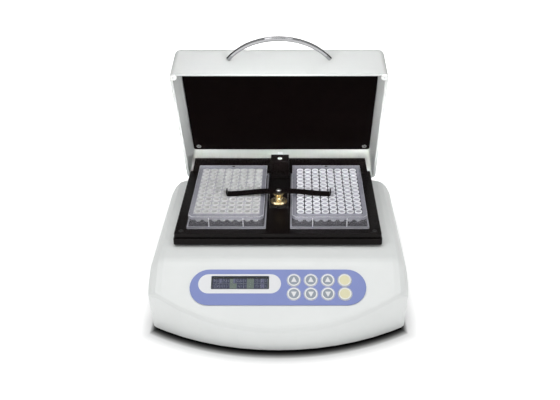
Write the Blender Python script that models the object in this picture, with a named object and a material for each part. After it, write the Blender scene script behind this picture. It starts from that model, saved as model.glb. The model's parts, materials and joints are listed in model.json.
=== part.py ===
"""A bench thermo-shaker: a heated, orbiting platform for two microplates under a hinged lid.

Metres, +Z up, front towards -Y. The table is at z = 0. The lid stands open, and the object is
centred on its own outline. Each moving body hangs on an empty that sits on its joint's axis.
"""

import math

import bmesh
import bpy
from mathutils import Matrix, Vector

# General gaps
GAP = 0.0003
RUNNING_GAP = 0.0002

# Base housing
BASE_WIDTH = 0.273
REAR_WALL_Y = 0.116
CREASE_APEX_Y = -0.145
FRONT_BOW = 0.0405
FRONT_UNDERCUT = 0.0125
FRONT_CORNER_RADIUS = 0.014
SKIRT_CORNER_RADIUS = 0.009
REAR_CORNER_RADIUS = 0.022
DECK_HEIGHT = 0.080
DECK_EDGE_RADIUS = 0.016
CREASE_EDGE_RADIUS = 0.004
PANEL_BREAK_Y = -0.078
PANEL_BREAK_RADIUS = 0.025
PANEL_SLOPE = math.radians(31)
HOUSING_WALL = 0.003
FOOT_HEIGHT = 0.004
FOOT_RADIUS = 0.008
FOOT_INSET_X = 0.030
FOOT_REAR_INSET = 0.026
FOOT_FRONT_Y = -0.080
BOTTOM_PLATE_THICKNESS = 0.002
BOTTOM_PLATE_INSET = 0.0005

# Keypad on the sloped panel: DOWN is measured down the slope from the break line
OVERLAY_WIDTH = 0.182
OVERLAY_HEIGHT = 0.0396
OVERLAY_DOWN = 0.0315
OVERLAY_THICKNESS = 0.0008
CUTOUT_MARGIN = 0.0038
WINDOW_WIDTH_SHARE = 0.326
WINDOW_HEIGHT = 0.0142
WINDOW_CENTRE_SHARE = -0.215
WINDOW_DOWN = 0.0264
WINDOW_THICKNESS = 0.0010
BUTTON_RADIUS = 0.0067
BUTTON_FIRST_SHARE = 0.090
BUTTON_PITCH_SHARE = 0.0962
BUTTON_TOP_DOWN = 0.0239
BUTTON_PITCH_DOWN = 0.0152
BUTTON_COLUMNS = 4
BUTTON_PROUD = 0.0008
BUTTON_SKIRT = 0.0022
BUTTON_STEM_RADIUS = 0.0018
BUTTON_STEM_LENGTH = 0.0030
BUTTON_TRAVEL = 0.0008
BOARD_THICKNESS = 0.0016
DISPLAY_DEPTH = 0.0042
DISPLAY_MARGIN = 0.002

# Orbit drive
ORBIT_RADIUS = 0.001
CRANK_X = 0.0
CRANK_Y = 0.0
IDLER_X = 0.075
IDLER_BEHIND = 0.0377
MOTOR_Y = 0.072
CHASSIS_DROP = 0.033
CHASSIS_THICKNESS = 0.003
CHASSIS_HALF_WIDTH = 0.098
CHASSIS_FRONT_Y = -0.038
CHASSIS_BEHIND = 0.018
CHASSIS_LEG_RADIUS = 0.005
CRANK_SHAFT_RADIUS = 0.006
IDLER_SHAFT_RADIUS = 0.005
CRANK_DISC_RADIUS = 0.0115
CRANK_DISC_THICKNESS = 0.004
CRANK_PIN_RADIUS = 0.004
BEARING_HEIGHT = 0.0115
BEARING_WALL = 0.007
BEARING_FLANGE = 0.004
BEARING_FLANGE_THICKNESS = 0.0022
PIN_BEARING_WALL = 0.0036
PIN_BEARING_HEIGHT = 0.008
HUB_WALL = 0.0034
HUB_ORBIT_ROOM = 0.0015
DRIVE_PULLEY_RADIUS = 0.0233
MOTOR_PULLEY_RADIUS = 0.008
PULLEY_FLANGE = 0.0017
PULLEY_HEIGHT = 0.009
PULLEY_FLANGE_THICKNESS = 0.0012
BELT_THICKNESS = 0.0014
COUNTERWEIGHT_RADIUS = 0.022
COUNTERWEIGHT_THICKNESS = 0.004
MOTOR_RADIUS = 0.021
MOTOR_HEIGHT = 0.027
MOTOR_SHAFT_RADIUS = 0.0025

# Platform, stacked upwards from just above the deck
PLATFORM_LIFT = 0.001
CARRIER_THICKNESS = 0.0014
CARRIER_INSET = 0.008
TRAY_THICKNESS = 0.0075
TRAY_PROUD = 0.001
HEATER_THICKNESS = 0.0006
HEATER_INSET = 0.006
PLATFORM_THICKNESS = 0.0048
PLATFORM_WIDTH = 0.223
PLATFORM_FRONT_Y = -0.0523
PLATFORM_DEPTH = 0.150
PLATFORM_CORNER_RADIUS = 0.002
FENCE_THICKNESS = 0.0057
FENCE_HEIGHT = 0.017
FENCE_TOP_INSET = 0.0072
FENCE_FOOT_INSET = 0.0042
TOWER_WIDTH = 0.022
TOWER_DEPTH = 0.0200
TOWER_HEIGHT = 0.0222

# Microplates, the standard footprint
MICROPLATE_LENGTH = 0.12776
MICROPLATE_WIDTH = 0.08548
MICROPLATE_HEIGHT = 0.01435
MICROPLATE_FLANGE_HEIGHT = 0.0025
MICROPLATE_FLANGE = 0.0018
MICROPLATE_TAPER = 0.0007
MICROPLATE_NOTCH = 0.004
MICROPLATE_GAP = 0.0266
WELL_PITCH = 0.009
WELL_RADIUS = 0.0034
WELL_TIP_HEIGHT = 0.0018
WELL_EDGE_MARGIN = 0.006
MICROPLATE_SPARE_IN_FRONT = 0.57

# Clamp between the plates
CLAMP_Y = 0.009
SPOOL_FOOT_RADIUS = 0.005
SPOOL_LOWER_RADIUS = 0.0098
SPOOL_WAIST_RADIUS = 0.0040
SPOOL_UPPER_RADIUS = 0.0074
SPOOL_PIN_RADIUS = 0.0022
STIRRUP_DEPTH = 0.008
STIRRUP_THICKNESS = 0.0008
CLAMP_HALF_SPAN = 0.059
CLAMP_WIDTH = 0.010
CLAMP_THICKNESS = 0.0012
CLAMP_ARCH = 0.0036
CLAMP_TAB = 0.005
CLAMP_SCREW_RADIUS = 0.0032
CLAMP_SCREW_HEAD = 0.0013

# Lid, built closed about its hinge and then swung open
HINGE_Y = 0.110
HINGE_DROP = 0.004
LID_OPEN_ANGLE = math.radians(65.5)
LID_WIDTH = 0.239
LID_FRONT_Y = -0.070
LID_REAR_Y = 0.112
LID_RIM_GAP = 0.0020
LID_HEIGHT = 0.0460
LID_DRAFT = 0.0025
LID_CORNER_RADIUS = 0.006
LID_INNER_CORNER_RADIUS = 0.003
LID_TOP_RADIUS = 0.008
LID_WALL = 0.003
INSULATION_THICKNESS = 0.0016
INSULATION_INSET = 0.002
HEATER_PANEL_THICKNESS = 0.0015
HEATER_PANEL_REAR_GAP = 0.0035
BUMPER_RADIUS = 0.0042
BUMPER_INSET = 0.0042
HANDLE_HALF_SPAN = 0.056
HANDLE_RISE = 0.0290
HANDLE_FOOT_GAP = 0.0020
HANDLE_ROD_RADIUS = 0.0025
HANDLE_ABOVE_RIM = 0.023
HINGE_SPACING = 0.075
HINGE_LENGTH = 0.034
HINGE_EAR = 0.006
HINGE_BARREL_RADIUS = 0.0036
HINGE_PIN_RADIUS = 0.0015
HINGE_LEAF_THICKNESS = 0.0022
HINGE_LEAF_HEIGHT = 0.020
HINGE_FOOT_DEPTH = 0.018

# Rear sockets
SOCKET_Z = 0.034
INLET_X = -0.070
INLET_SIZE = 0.014
INLET_BORE_RADIUS = 0.0042
INLET_DEPTH = 0.012
INLET_PROUD = 0.001
SWITCH_X = -0.040
SWITCH_WIDTH = 0.013
SWITCH_HEIGHT = 0.019
SWITCH_DEPTH = 0.012
SWITCH_FLANGE = 0.002
SWITCH_FLANGE_THICKNESS = 0.0012
ROCKER_PROUD = 0.0022
ROCKER_TILT = math.radians(8)

# Levels that follow from the sizes above
HALF_WIDTH = BASE_WIDTH / 2
FRONT_RADIUS = (HALF_WIDTH ** 2 + FRONT_BOW ** 2) / (2 * FRONT_BOW)
FLOOR_TOP = FOOT_HEIGHT + BOTTOM_PLATE_THICKNESS
WINDOW_WIDTH = OVERLAY_WIDTH * WINDOW_WIDTH_SHARE
WINDOW_CENTRE_X = OVERLAY_WIDTH * WINDOW_CENTRE_SHARE
BUTTON_FIRST_X = OVERLAY_WIDTH * BUTTON_FIRST_SHARE
BUTTON_PITCH_X = OVERLAY_WIDTH * BUTTON_PITCH_SHARE
CHASSIS_TOP = DECK_HEIGHT - CHASSIS_DROP
CHASSIS_REAR_Y = REAR_WALL_Y - CHASSIS_BEHIND
HINGE_Z = DECK_HEIGHT - HINGE_DROP
DISC_BOTTOM = CHASSIS_TOP + GAP + BEARING_HEIGHT + GAP
PIN_BOTTOM = DISC_BOTTOM + CRANK_DISC_THICKNESS
PIN_BEARING_BOTTOM = PIN_BOTTOM + 4 * GAP
PIN_TOP = PIN_BEARING_BOTTOM + PIN_BEARING_HEIGHT + GAP
CARRIER_BOTTOM = DECK_HEIGHT + PLATFORM_LIFT
CARRIER_TOP = CARRIER_BOTTOM + CARRIER_THICKNESS
TRAY_TOP = CARRIER_TOP + GAP + TRAY_THICKNESS
PLATE_BOTTOM = TRAY_TOP + HEATER_THICKNESS + 2 * GAP
PLATE_TOP = PLATE_BOTTOM + PLATFORM_THICKNESS
PLATFORM_REAR_Y = PLATFORM_FRONT_Y + PLATFORM_DEPTH
IDLER_Y = PLATFORM_REAR_Y - IDLER_BEHIND
WELL_COLUMNS = int((MICROPLATE_WIDTH - 2 * WELL_EDGE_MARGIN) / WELL_PITCH)
WELL_ROWS = int((MICROPLATE_LENGTH - 2 * WELL_EDGE_MARGIN) / WELL_PITCH)
MICROPLATE_SPARE = PLATFORM_DEPTH - FENCE_THICKNESS - MICROPLATE_LENGTH
MICROPLATE_TOP = PLATE_TOP + GAP + MICROPLATE_HEIGHT
HUB_BORE_RADIUS = CRANK_PIN_RADIUS + RUNNING_GAP + PIN_BEARING_WALL + GAP
HUB_RADIUS = HUB_BORE_RADIUS + HUB_WALL
DECK_HOLE_RADIUS = HUB_RADIUS + ORBIT_RADIUS + HUB_ORBIT_ROOM
RIM_Z = DECK_HEIGHT + LID_RIM_GAP
LID_TOP = RIM_Z + LID_HEIGHT
CEILING_Z = LID_TOP - LID_WALL
HEATER_PANEL_Z = CEILING_Z - 2 * GAP - INSULATION_THICKNESS - HEATER_PANEL_THICKNESS
PULLEY_TOP = CHASSIS_TOP - CHASSIS_THICKNESS - COUNTERWEIGHT_THICKNESS - 4 * GAP
CRANK_SPOTS = [(CRANK_X, CRANK_Y), (-IDLER_X, IDLER_Y), (IDLER_X, IDLER_Y)]

ROUND_SEGMENTS = 24
KEY_SEGMENTS = 20
HIDDEN_SEGMENTS = 14
WELL_SEGMENTS = 8


# Helpers

def clear_scene():
    for thing in list(bpy.data.objects):
        bpy.data.objects.remove(thing, do_unlink=True)


def make_material(name, colour, roughness, metallic=0.0):
    material = bpy.data.materials.new(name)
    material.use_nodes = True
    shader = material.node_tree.nodes["Principled BSDF"]
    shader.inputs["Base Color"].default_value = (*colour, 1.0)
    shader.inputs["Roughness"].default_value = roughness
    shader.inputs["Metallic"].default_value = metallic
    return material


def make_empty(name, location=(0, 0, 0), parent=None):
    empty = bpy.data.objects.new(name, None)
    empty.location = location
    empty.parent = parent
    bpy.context.scene.collection.objects.link(empty)
    return empty


def make_object(name, mesh_build, material, parent, location=(0, 0, 0), smooth=35):
    bmesh.ops.recalc_face_normals(mesh_build, faces=mesh_build.faces[:])
    mesh = bpy.data.meshes.new(name)
    mesh_build.to_mesh(mesh)
    mesh_build.free()
    mesh.shade_smooth()
    mesh.set_sharp_from_angle(angle=math.radians(smooth))
    thing = bpy.data.objects.new(name, mesh)
    thing.location = location
    thing.parent = parent
    if material is None:
        thing.hide_render = True
        thing.display_type = "WIRE"
    else:
        mesh.materials.append(material)
    bpy.context.scene.collection.objects.link(thing)
    return thing


def loft(rings, closed=False):
    """A solid through rings of equal length: capped at both ends, or closed on itself."""
    build = bmesh.new()
    rows = [[build.verts.new(point) for point in ring] for ring in rings]
    count = len(rows[0])
    pairs = list(zip(rows, rows[1:]))
    if closed:
        pairs.append((rows[-1], rows[0]))
    for low, high in pairs:
        for i in range(count):
            j = (i + 1) % count
            build.faces.new((low[i], low[j], high[j], high[i]))
    if not closed:
        build.faces.new(rows[0])
        build.faces.new(rows[-1])
    return build


def circle(radius, z, centre=(0, 0), count=ROUND_SEGMENTS):
    turn = 2 * math.pi / count
    return [
        Vector((centre[0] + radius * math.cos(i * turn), centre[1] + radius * math.sin(i * turn), z))
        for i in range(count)
    ]


def turned(profile, centre=(0, 0), closed=False, count=ROUND_SEGMENTS):
    """A solid of revolution from (radius, z) pairs."""
    return loft([circle(radius, z, centre, count) for radius, z in profile], closed)


def rounded_rectangle(low, high, radius, z, steps=4):
    """A ring in the XY plane with rounded corners."""
    corners = [
        (high[0] - radius, high[1] - radius, 0),
        (low[0] + radius, high[1] - radius, 90),
        (low[0] + radius, low[1] + radius, 180),
        (high[0] - radius, low[1] + radius, 270),
    ]
    ring = []
    for x, y, start in corners:
        for step in range(steps + 1):
            angle = math.radians(start + 90 * step / steps)
            ring.append(Vector((x + radius * math.cos(angle), y + radius * math.sin(angle), z)))
    return ring


def slab(low, high, z_low, z_high, radius, steps=4):
    return loft([rounded_rectangle(low, high, radius, z, steps) for z in (z_low, z_high)])


def block(low, high):
    x0, y0, z0 = low
    x1, y1, z1 = high
    return loft([[Vector(p) for p in ((x0, y0, z), (x1, y0, z), (x1, y1, z), (x0, y1, z))] for z in (z0, z1)])


def prism_x(outline, x_low, x_high):
    """A (y, z) outline extruded along X."""
    return loft([[Vector((x, y, z)) for y, z in outline] for x in (x_low, x_high)])


def prism_z(outline, z_low, z_high):
    return loft([[Vector((x, y, z)) for x, y in outline] for z in (z_low, z_high)])


def add_boolean(target, helper, operation="DIFFERENCE"):
    modifier = target.modifiers.new(helper.name, "BOOLEAN")
    modifier.operation = operation
    modifier.solver = "EXACT"
    modifier.object = helper


def cut(target, name, mesh_build, parent, location=(0, 0, 0)):
    add_boolean(target, make_object(name, mesh_build, None, parent, location))


def join(target, name, mesh_build, parent):
    add_boolean(target, make_object(name, mesh_build, None, parent), "UNION")


def add_array(target, count, step):
    array = target.modifiers.new("pattern", "ARRAY")
    array.count = count
    array.use_relative_offset = False
    array.use_constant_offset = True
    array.constant_offset_displace = step


def add_bevel(target, width, segments=2, angle=40):
    bevel = target.modifiers.new("edge_rounding", "BEVEL")
    bevel.width = width
    bevel.segments = segments
    bevel.limit_method = "ANGLE"
    bevel.angle_limit = math.radians(angle)


def inset_ring(ring, distance):
    """A ring in the XY plane, running anticlockwise, moved inwards by a distance."""
    inner = []
    count = len(ring)
    for i in range(count):
        before = (ring[i] - ring[i - 1]).normalized()
        after = (ring[(i + 1) % count] - ring[i]).normalized()
        normals = [Vector((-edge.y, edge.x, 0)) for edge in (before, after)]
        middle = (normals[0] + normals[1]).normalized()
        inner.append(ring[i] + middle * distance / middle.dot(normals[0]))
    return inner


# Base outline and top surface

def edge_drop(distance, radius):
    """How far a rounded edge lies below its sharp surface, at a distance in from the edge."""
    inside = min(max(radius - distance, 0), radius)
    return radius - math.sqrt(radius * radius - inside * inside)


def bowed_front_y(x, apex_y, radius, corner_radius):
    """A wide arc in plan, with a fillet into each side wall."""
    arc_centre_y = apex_y + radius
    corner_x = HALF_WIDTH - corner_radius
    reach = radius - corner_radius
    if abs(x) <= corner_x * radius / reach:
        return arc_centre_y - math.sqrt(radius * radius - x * x)
    corner_y = arc_centre_y - math.sqrt(reach * reach - corner_x * corner_x)
    across = min(abs(x) - corner_x, corner_radius)
    return corner_y - math.sqrt(corner_radius * corner_radius - across * across)


def front_y(x):
    return bowed_front_y(x, CREASE_APEX_Y, FRONT_RADIUS, FRONT_CORNER_RADIUS)


def skirt_foot_y(x):
    return bowed_front_y(x, CREASE_APEX_Y + FRONT_UNDERCUT, FRONT_RADIUS, SKIRT_CORNER_RADIUS)


def rear_y(x):
    across = max(abs(x) - (HALF_WIDTH - REAR_CORNER_RADIUS), 0)
    across = min(across, REAR_CORNER_RADIUS)
    return REAR_WALL_Y - edge_drop(REAR_CORNER_RADIUS - across, REAR_CORNER_RADIUS)


def break_start_y():
    return PANEL_BREAK_Y + PANEL_BREAK_RADIUS * math.tan(PANEL_SLOPE / 2)


def break_end_y():
    return break_start_y() - PANEL_BREAK_RADIUS * math.sin(PANEL_SLOPE)


def top_z(y):
    """The deck, the rounded break and the sloped panel."""
    if y >= break_start_y():
        return DECK_HEIGHT
    if y >= break_end_y():
        run = break_start_y() - y
        return DECK_HEIGHT - edge_drop(PANEL_BREAK_RADIUS - run, PANEL_BREAK_RADIUS)
    return DECK_HEIGHT - (PANEL_BREAK_Y - y) * math.tan(PANEL_SLOPE)


def housing_columns():
    """X of each column of the housing's surface, closer together over the rounded sides."""
    steps = 4
    rounded = [
        HALF_WIDTH - DECK_EDGE_RADIUS * (1 - math.cos(math.pi / 2 * step / steps))
        for step in range(steps)
    ]
    flat = HALF_WIDTH - DECK_EDGE_RADIUS
    inner_steps = 6
    inner = [flat * (1 - step / inner_steps) for step in range(inner_steps)]
    right = rounded + inner
    return [-x for x in right] + [0] + right[::-1]


def housing_rows(x):
    """Y of each row of the housing's surface at one column, from the rear to the front."""
    steps = 4
    rows = [
        rear_y(x) - DECK_EDGE_RADIUS * (1 - math.cos(math.pi / 2 * step / steps))
        for step in range(steps + 1)
    ]
    break_run = break_start_y() - break_end_y()
    rows += [break_start_y() - break_run * step / 3 for step in range(4)]
    crease_steps = 3
    rows += [
        front_y(x) + CREASE_EDGE_RADIUS * (1 - math.sin(math.pi / 2 * step / crease_steps))
        for step in range(crease_steps + 1)
    ]
    return rows


def housing_z(x, y):
    side = edge_drop(HALF_WIDTH - abs(x), DECK_EDGE_RADIUS)
    rear = edge_drop(rear_y(x) - y, DECK_EDGE_RADIUS)
    crease = edge_drop(y - front_y(x), CREASE_EDGE_RADIUS)
    return top_z(y) - side - rear - crease


def housing_foot_ring():
    """The housing's lower edge, anticlockwise from the rear right corner, set back under the crease."""
    columns = housing_columns()
    side_rear = rear_y(HALF_WIDTH)
    shortening = (side_rear - skirt_foot_y(HALF_WIDTH)) / (side_rear - front_y(HALF_WIDTH))
    side_rows = [side_rear - (side_rear - y) * shortening for y in housing_rows(HALF_WIDTH)[1:-1]]
    ring = [Vector((x, rear_y(x), FOOT_HEIGHT)) for x in columns[::-1]]
    ring += [Vector((columns[0], y, FOOT_HEIGHT)) for y in side_rows]
    ring += [Vector((x, skirt_foot_y(x), FOOT_HEIGHT)) for x in columns]
    ring += [Vector((columns[-1], y, FOOT_HEIGHT)) for y in side_rows[::-1]]
    return ring


def panel_matrix():
    """A frame on the sloped panel: X across, Y up the slope, Z out of it, at the break line."""
    return Matrix.Translation((0, PANEL_BREAK_Y, DECK_HEIGHT)) @ Matrix.Rotation(PANEL_SLOPE, 4, "X")


def make_base_housing(body, material):
    build = bmesh.new()
    columns = housing_columns()
    grid = []
    for x in columns:
        grid.append([build.verts.new((x, y, housing_z(x, y))) for y in housing_rows(x)])
    for left, right in zip(grid, grid[1:]):
        for i in range(len(left) - 1):
            build.faces.new((left[i], left[i + 1], right[i + 1], right[i]))
    last = len(grid[0]) - 1
    border = [column[0] for column in grid[::-1]]
    border += grid[0][1:last]
    border += [column[last] for column in grid]
    border += grid[-1][last - 1:0:-1]
    foot = [build.verts.new(point) for point in housing_foot_ring()]
    for i in range(len(border)):
        j = (i + 1) % len(border)
        build.faces.new((border[i], border[j], foot[j], foot[i]))
    housing = make_object("base_housing", build, material, body, smooth=30)
    shell = housing.modifiers.new("wall", "SOLIDIFY")
    shell.thickness = HOUSING_WALL
    shell.offset = -1
    shell.use_even_offset = True
    for index, spot in enumerate(CRANK_SPOTS):
        profile = [(DECK_HOLE_RADIUS, DECK_HEIGHT - 0.01), (DECK_HOLE_RADIUS, DECK_HEIGHT + 0.01)]
        hole = turned(profile, spot, count=HIDDEN_SEGMENTS)
        cut(housing, f"cutter_deck_hole_{index}", hole, body)
    cutter = keypad_slab(CUTOUT_MARGIN, -0.012, 0.012)
    cutter.transform(panel_matrix())
    cut(housing, "cutter_keypad", cutter, body)
    for side in (-1, 1):
        x = side * HINGE_SPACING
        half = HINGE_LENGTH / 2 + 2 * GAP
        notch = block(
            (x - half, HINGE_Y - 0.0075, HINGE_Z - 0.0075),
            (x + half, REAR_WALL_Y + 0.01, DECK_HEIGHT + 0.01),
        )
        cut(housing, f"cutter_hinge_{side}", notch, body)
    for name, x, width, height in (
        ("inlet", INLET_X, INLET_SIZE, INLET_SIZE),
        ("switch", SWITCH_X, SWITCH_WIDTH, SWITCH_HEIGHT),
    ):
        half_x = width / 2 + GAP
        half_z = height / 2 + GAP
        opening = block(
            (x - half_x, REAR_WALL_Y - 0.01, SOCKET_Z - half_z),
            (x + half_x, REAR_WALL_Y + 0.01, SOCKET_Z + half_z),
        )
        cut(housing, f"cutter_{name}", opening, body)


def make_bottom(body, steel, rubber):
    ring = inset_ring(housing_foot_ring(), HOUSING_WALL + BOTTOM_PLATE_INSET)
    low = [point.copy() for point in ring]
    high = [point + Vector((0, 0, BOTTOM_PLATE_THICKNESS)) for point in ring]
    make_object("bottom_plate", loft([low, high]), steel, body)
    foot_x = HALF_WIDTH - FOOT_INSET_X
    for depth, y in (("front", FOOT_FRONT_Y), ("rear", REAR_WALL_Y - FOOT_REAR_INSET)):
        for side, sign in (("left", -1), ("right", 1)):
            profile = [
                (FOOT_RADIUS * 0.85, 0),
                (FOOT_RADIUS, FOOT_HEIGHT * 0.3),
                (FOOT_RADIUS, FOOT_HEIGHT - GAP),
            ]
            foot = turned(profile, count=HIDDEN_SEGMENTS)
            make_object(f"foot_{depth}_{side}", foot, rubber, body, (sign * foot_x, y, 0))


# Keypad

def keypad_slab(inset, low, high):
    """The keypad's outline in panel coordinates, with round ends, set in by a distance."""
    half_height = OVERLAY_HEIGHT / 2 - inset
    half_width = OVERLAY_WIDTH / 2 - inset
    return slab(
        (-half_width, -OVERLAY_DOWN - half_height),
        (half_width, -OVERLAY_DOWN + half_height),
        low,
        high,
        half_height * 0.999,
        8,
    )


def window_block(grow, low, high):
    half_x = WINDOW_WIDTH / 2 + grow
    half_y = WINDOW_HEIGHT / 2 + grow
    return slab(
        (WINDOW_CENTRE_X - half_x, -WINDOW_DOWN - half_y),
        (WINDOW_CENTRE_X + half_x, -WINDOW_DOWN + half_y),
        low,
        high,
        0.0012,
        2,
    )


def button_spots():
    for row in range(2):
        for column in range(BUTTON_COLUMNS):
            x = BUTTON_FIRST_X + column * BUTTON_PITCH_X
            yield row, column, x, -BUTTON_TOP_DOWN - row * BUTTON_PITCH_DOWN


def make_keypad(panel, materials):
    top = GAP + OVERLAY_THICKNESS
    overlay = make_object("keypad_overlay", keypad_slab(0, GAP, top), materials["overlay"], panel)
    cut(overlay, "cutter_window", window_block(GAP, -0.005, 0.005), panel)
    window_low = top - WINDOW_THICKNESS
    make_object("display_window", window_block(0, window_low, top), materials["window"], panel)
    display_top = window_low - GAP
    display_low = display_top - DISPLAY_DEPTH
    module = window_block(DISPLAY_MARGIN, display_low, display_top - GAP)
    make_object("display_module", module, materials["display"], panel)
    stem_foot = top - BUTTON_SKIRT - BUTTON_STEM_LENGTH
    board_top = min(display_low - GAP, stem_foot - BUTTON_TRAVEL - GAP)
    half_height = OVERLAY_HEIGHT / 2 - CUTOUT_MARGIN - 2 * GAP
    board = slab(
        (-OVERLAY_WIDTH / 2 + 0.014, -OVERLAY_DOWN - half_height),
        (OVERLAY_WIDTH / 2 - 0.014, -OVERLAY_DOWN + half_height),
        board_top - BOARD_THICKNESS,
        board_top,
        0.002,
        2,
    )
    make_object("control_board", board, materials["board"], panel)
    for row, column, x, y in button_spots():
        profile = [(BUTTON_RADIUS + GAP, -0.005), (BUTTON_RADIUS + GAP, 0.005)]
        hole = turned(profile, (x, y), count=KEY_SEGMENTS)
        cut(overlay, f"cutter_button_{row}_{column}", hole, panel)
        centre = make_empty(f"button_axis_{row}_{column}", (x, y, 0), panel)
        profile = [
            (BUTTON_STEM_RADIUS, stem_foot),
            (BUTTON_STEM_RADIUS, top - BUTTON_SKIRT),
            (BUTTON_RADIUS, top - BUTTON_SKIRT),
            (BUTTON_RADIUS, top + BUTTON_PROUD * 0.6),
            (BUTTON_RADIUS * 0.93, top + BUTTON_PROUD),
        ]
        name = f"button_{'top' if row == 0 else 'bottom'}_{column + 1}"
        material = materials["yellow_key"] if column == BUTTON_COLUMNS - 1 else materials["key"]
        make_object(name, turned(profile, count=KEY_SEGMENTS), material, centre)


# Orbit drive

def make_chassis(body, steel):
    low = (-CHASSIS_HALF_WIDTH, CHASSIS_FRONT_Y)
    high = (CHASSIS_HALF_WIDTH, CHASSIS_REAR_Y)
    bottom = CHASSIS_TOP - CHASSIS_THICKNESS
    chassis = make_object("drive_chassis", slab(low, high, bottom, CHASSIS_TOP, 0.006, 3), steel, body)
    inset = CHASSIS_LEG_RADIUS + 0.002
    for index, (x, y) in enumerate(
        [
            (low[0] + inset, low[1] + inset),
            (high[0] - inset, low[1] + inset),
            (low[0] + inset, high[1] - inset),
            (high[0] - inset, high[1] - inset),
        ]
    ):
        profile = [(CHASSIS_LEG_RADIUS, FLOOR_TOP + GAP), (CHASSIS_LEG_RADIUS, bottom + 0.001)]
        leg = turned(profile, (x, y), count=12)
        join(chassis, f"chassis_leg_{index}", leg, body)
    holes = [
        (CRANK_X, CRANK_Y, CRANK_SHAFT_RADIUS + BEARING_WALL + GAP),
        (-IDLER_X, IDLER_Y, IDLER_SHAFT_RADIUS + BEARING_WALL + GAP),
        (IDLER_X, IDLER_Y, IDLER_SHAFT_RADIUS + BEARING_WALL + GAP),
        (CRANK_X, MOTOR_Y, MOTOR_PULLEY_RADIUS),
    ]
    for index, (x, y, radius) in enumerate(holes):
        profile = [(radius, bottom - 0.002), (radius, CHASSIS_TOP + 0.002)]
        hole = turned(profile, (x, y), count=HIDDEN_SEGMENTS)
        cut(chassis, f"cutter_chassis_{index}", hole, body)


def bearing_profile(shaft_radius):
    """A flanged bearing whose flange stands on the chassis and whose sleeve hangs in its hole."""
    bore = shaft_radius + RUNNING_GAP
    outer = shaft_radius + BEARING_WALL
    bottom = CHASSIS_TOP - CHASSIS_THICKNESS
    flange_low = CHASSIS_TOP + GAP
    flange_high = flange_low + BEARING_FLANGE_THICKNESS
    top = flange_low + BEARING_HEIGHT
    return [
        (bore, bottom),
        (outer, bottom),
        (outer, flange_low),
        (outer + BEARING_FLANGE, flange_low),
        (outer + BEARING_FLANGE, flange_high),
        (outer, flange_high),
        (outer, top),
        (bore, top),
    ]


def crank_rings(shaft_radius, shaft_low):
    """Shaft, disc and a pin set off the shaft's axis by the orbit's radius, towards -X."""
    centre = (0, 0)
    pin = (-ORBIT_RADIUS, 0)
    stations = [
        (shaft_radius, shaft_low, centre),
        (shaft_radius, DISC_BOTTOM, centre),
        (CRANK_DISC_RADIUS, DISC_BOTTOM, centre),
        (CRANK_DISC_RADIUS, PIN_BOTTOM, centre),
        (CRANK_PIN_RADIUS, PIN_BOTTOM, pin),
        (CRANK_PIN_RADIUS, PIN_TOP, pin),
    ]
    return [circle(radius, z, spot, HIDDEN_SEGMENTS) for radius, z, spot in stations]


def pulley_profile(bore, groove):
    low = PULLEY_TOP - PULLEY_HEIGHT
    flange = groove + PULLEY_FLANGE
    return [
        (bore, low),
        (flange, low),
        (flange, low + PULLEY_FLANGE_THICKNESS),
        (groove, low + PULLEY_FLANGE_THICKNESS),
        (groove, PULLEY_TOP - PULLEY_FLANGE_THICKNESS),
        (flange, PULLEY_TOP - PULLEY_FLANGE_THICKNESS),
        (flange, PULLEY_TOP),
        (bore, PULLEY_TOP),
    ]


def belt_outline(radius_front, radius_rear, steps=12):
    """A belt line round the drive pulley in front and the motor pulley behind, anticlockwise."""
    spacing = MOTOR_Y - CRANK_Y
    lean = math.asin((radius_front - radius_rear) / spacing)
    points = []
    for centre_y, radius, start, stop in (
        (MOTOR_Y, radius_rear, lean, math.pi - lean),
        (CRANK_Y, radius_front, math.pi - lean, 2 * math.pi + lean),
    ):
        for step in range(steps + 1):
            angle = start + (stop - start) * step / steps
            points.append((CRANK_X + radius * math.cos(angle), centre_y + radius * math.sin(angle)))
    return points


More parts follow.
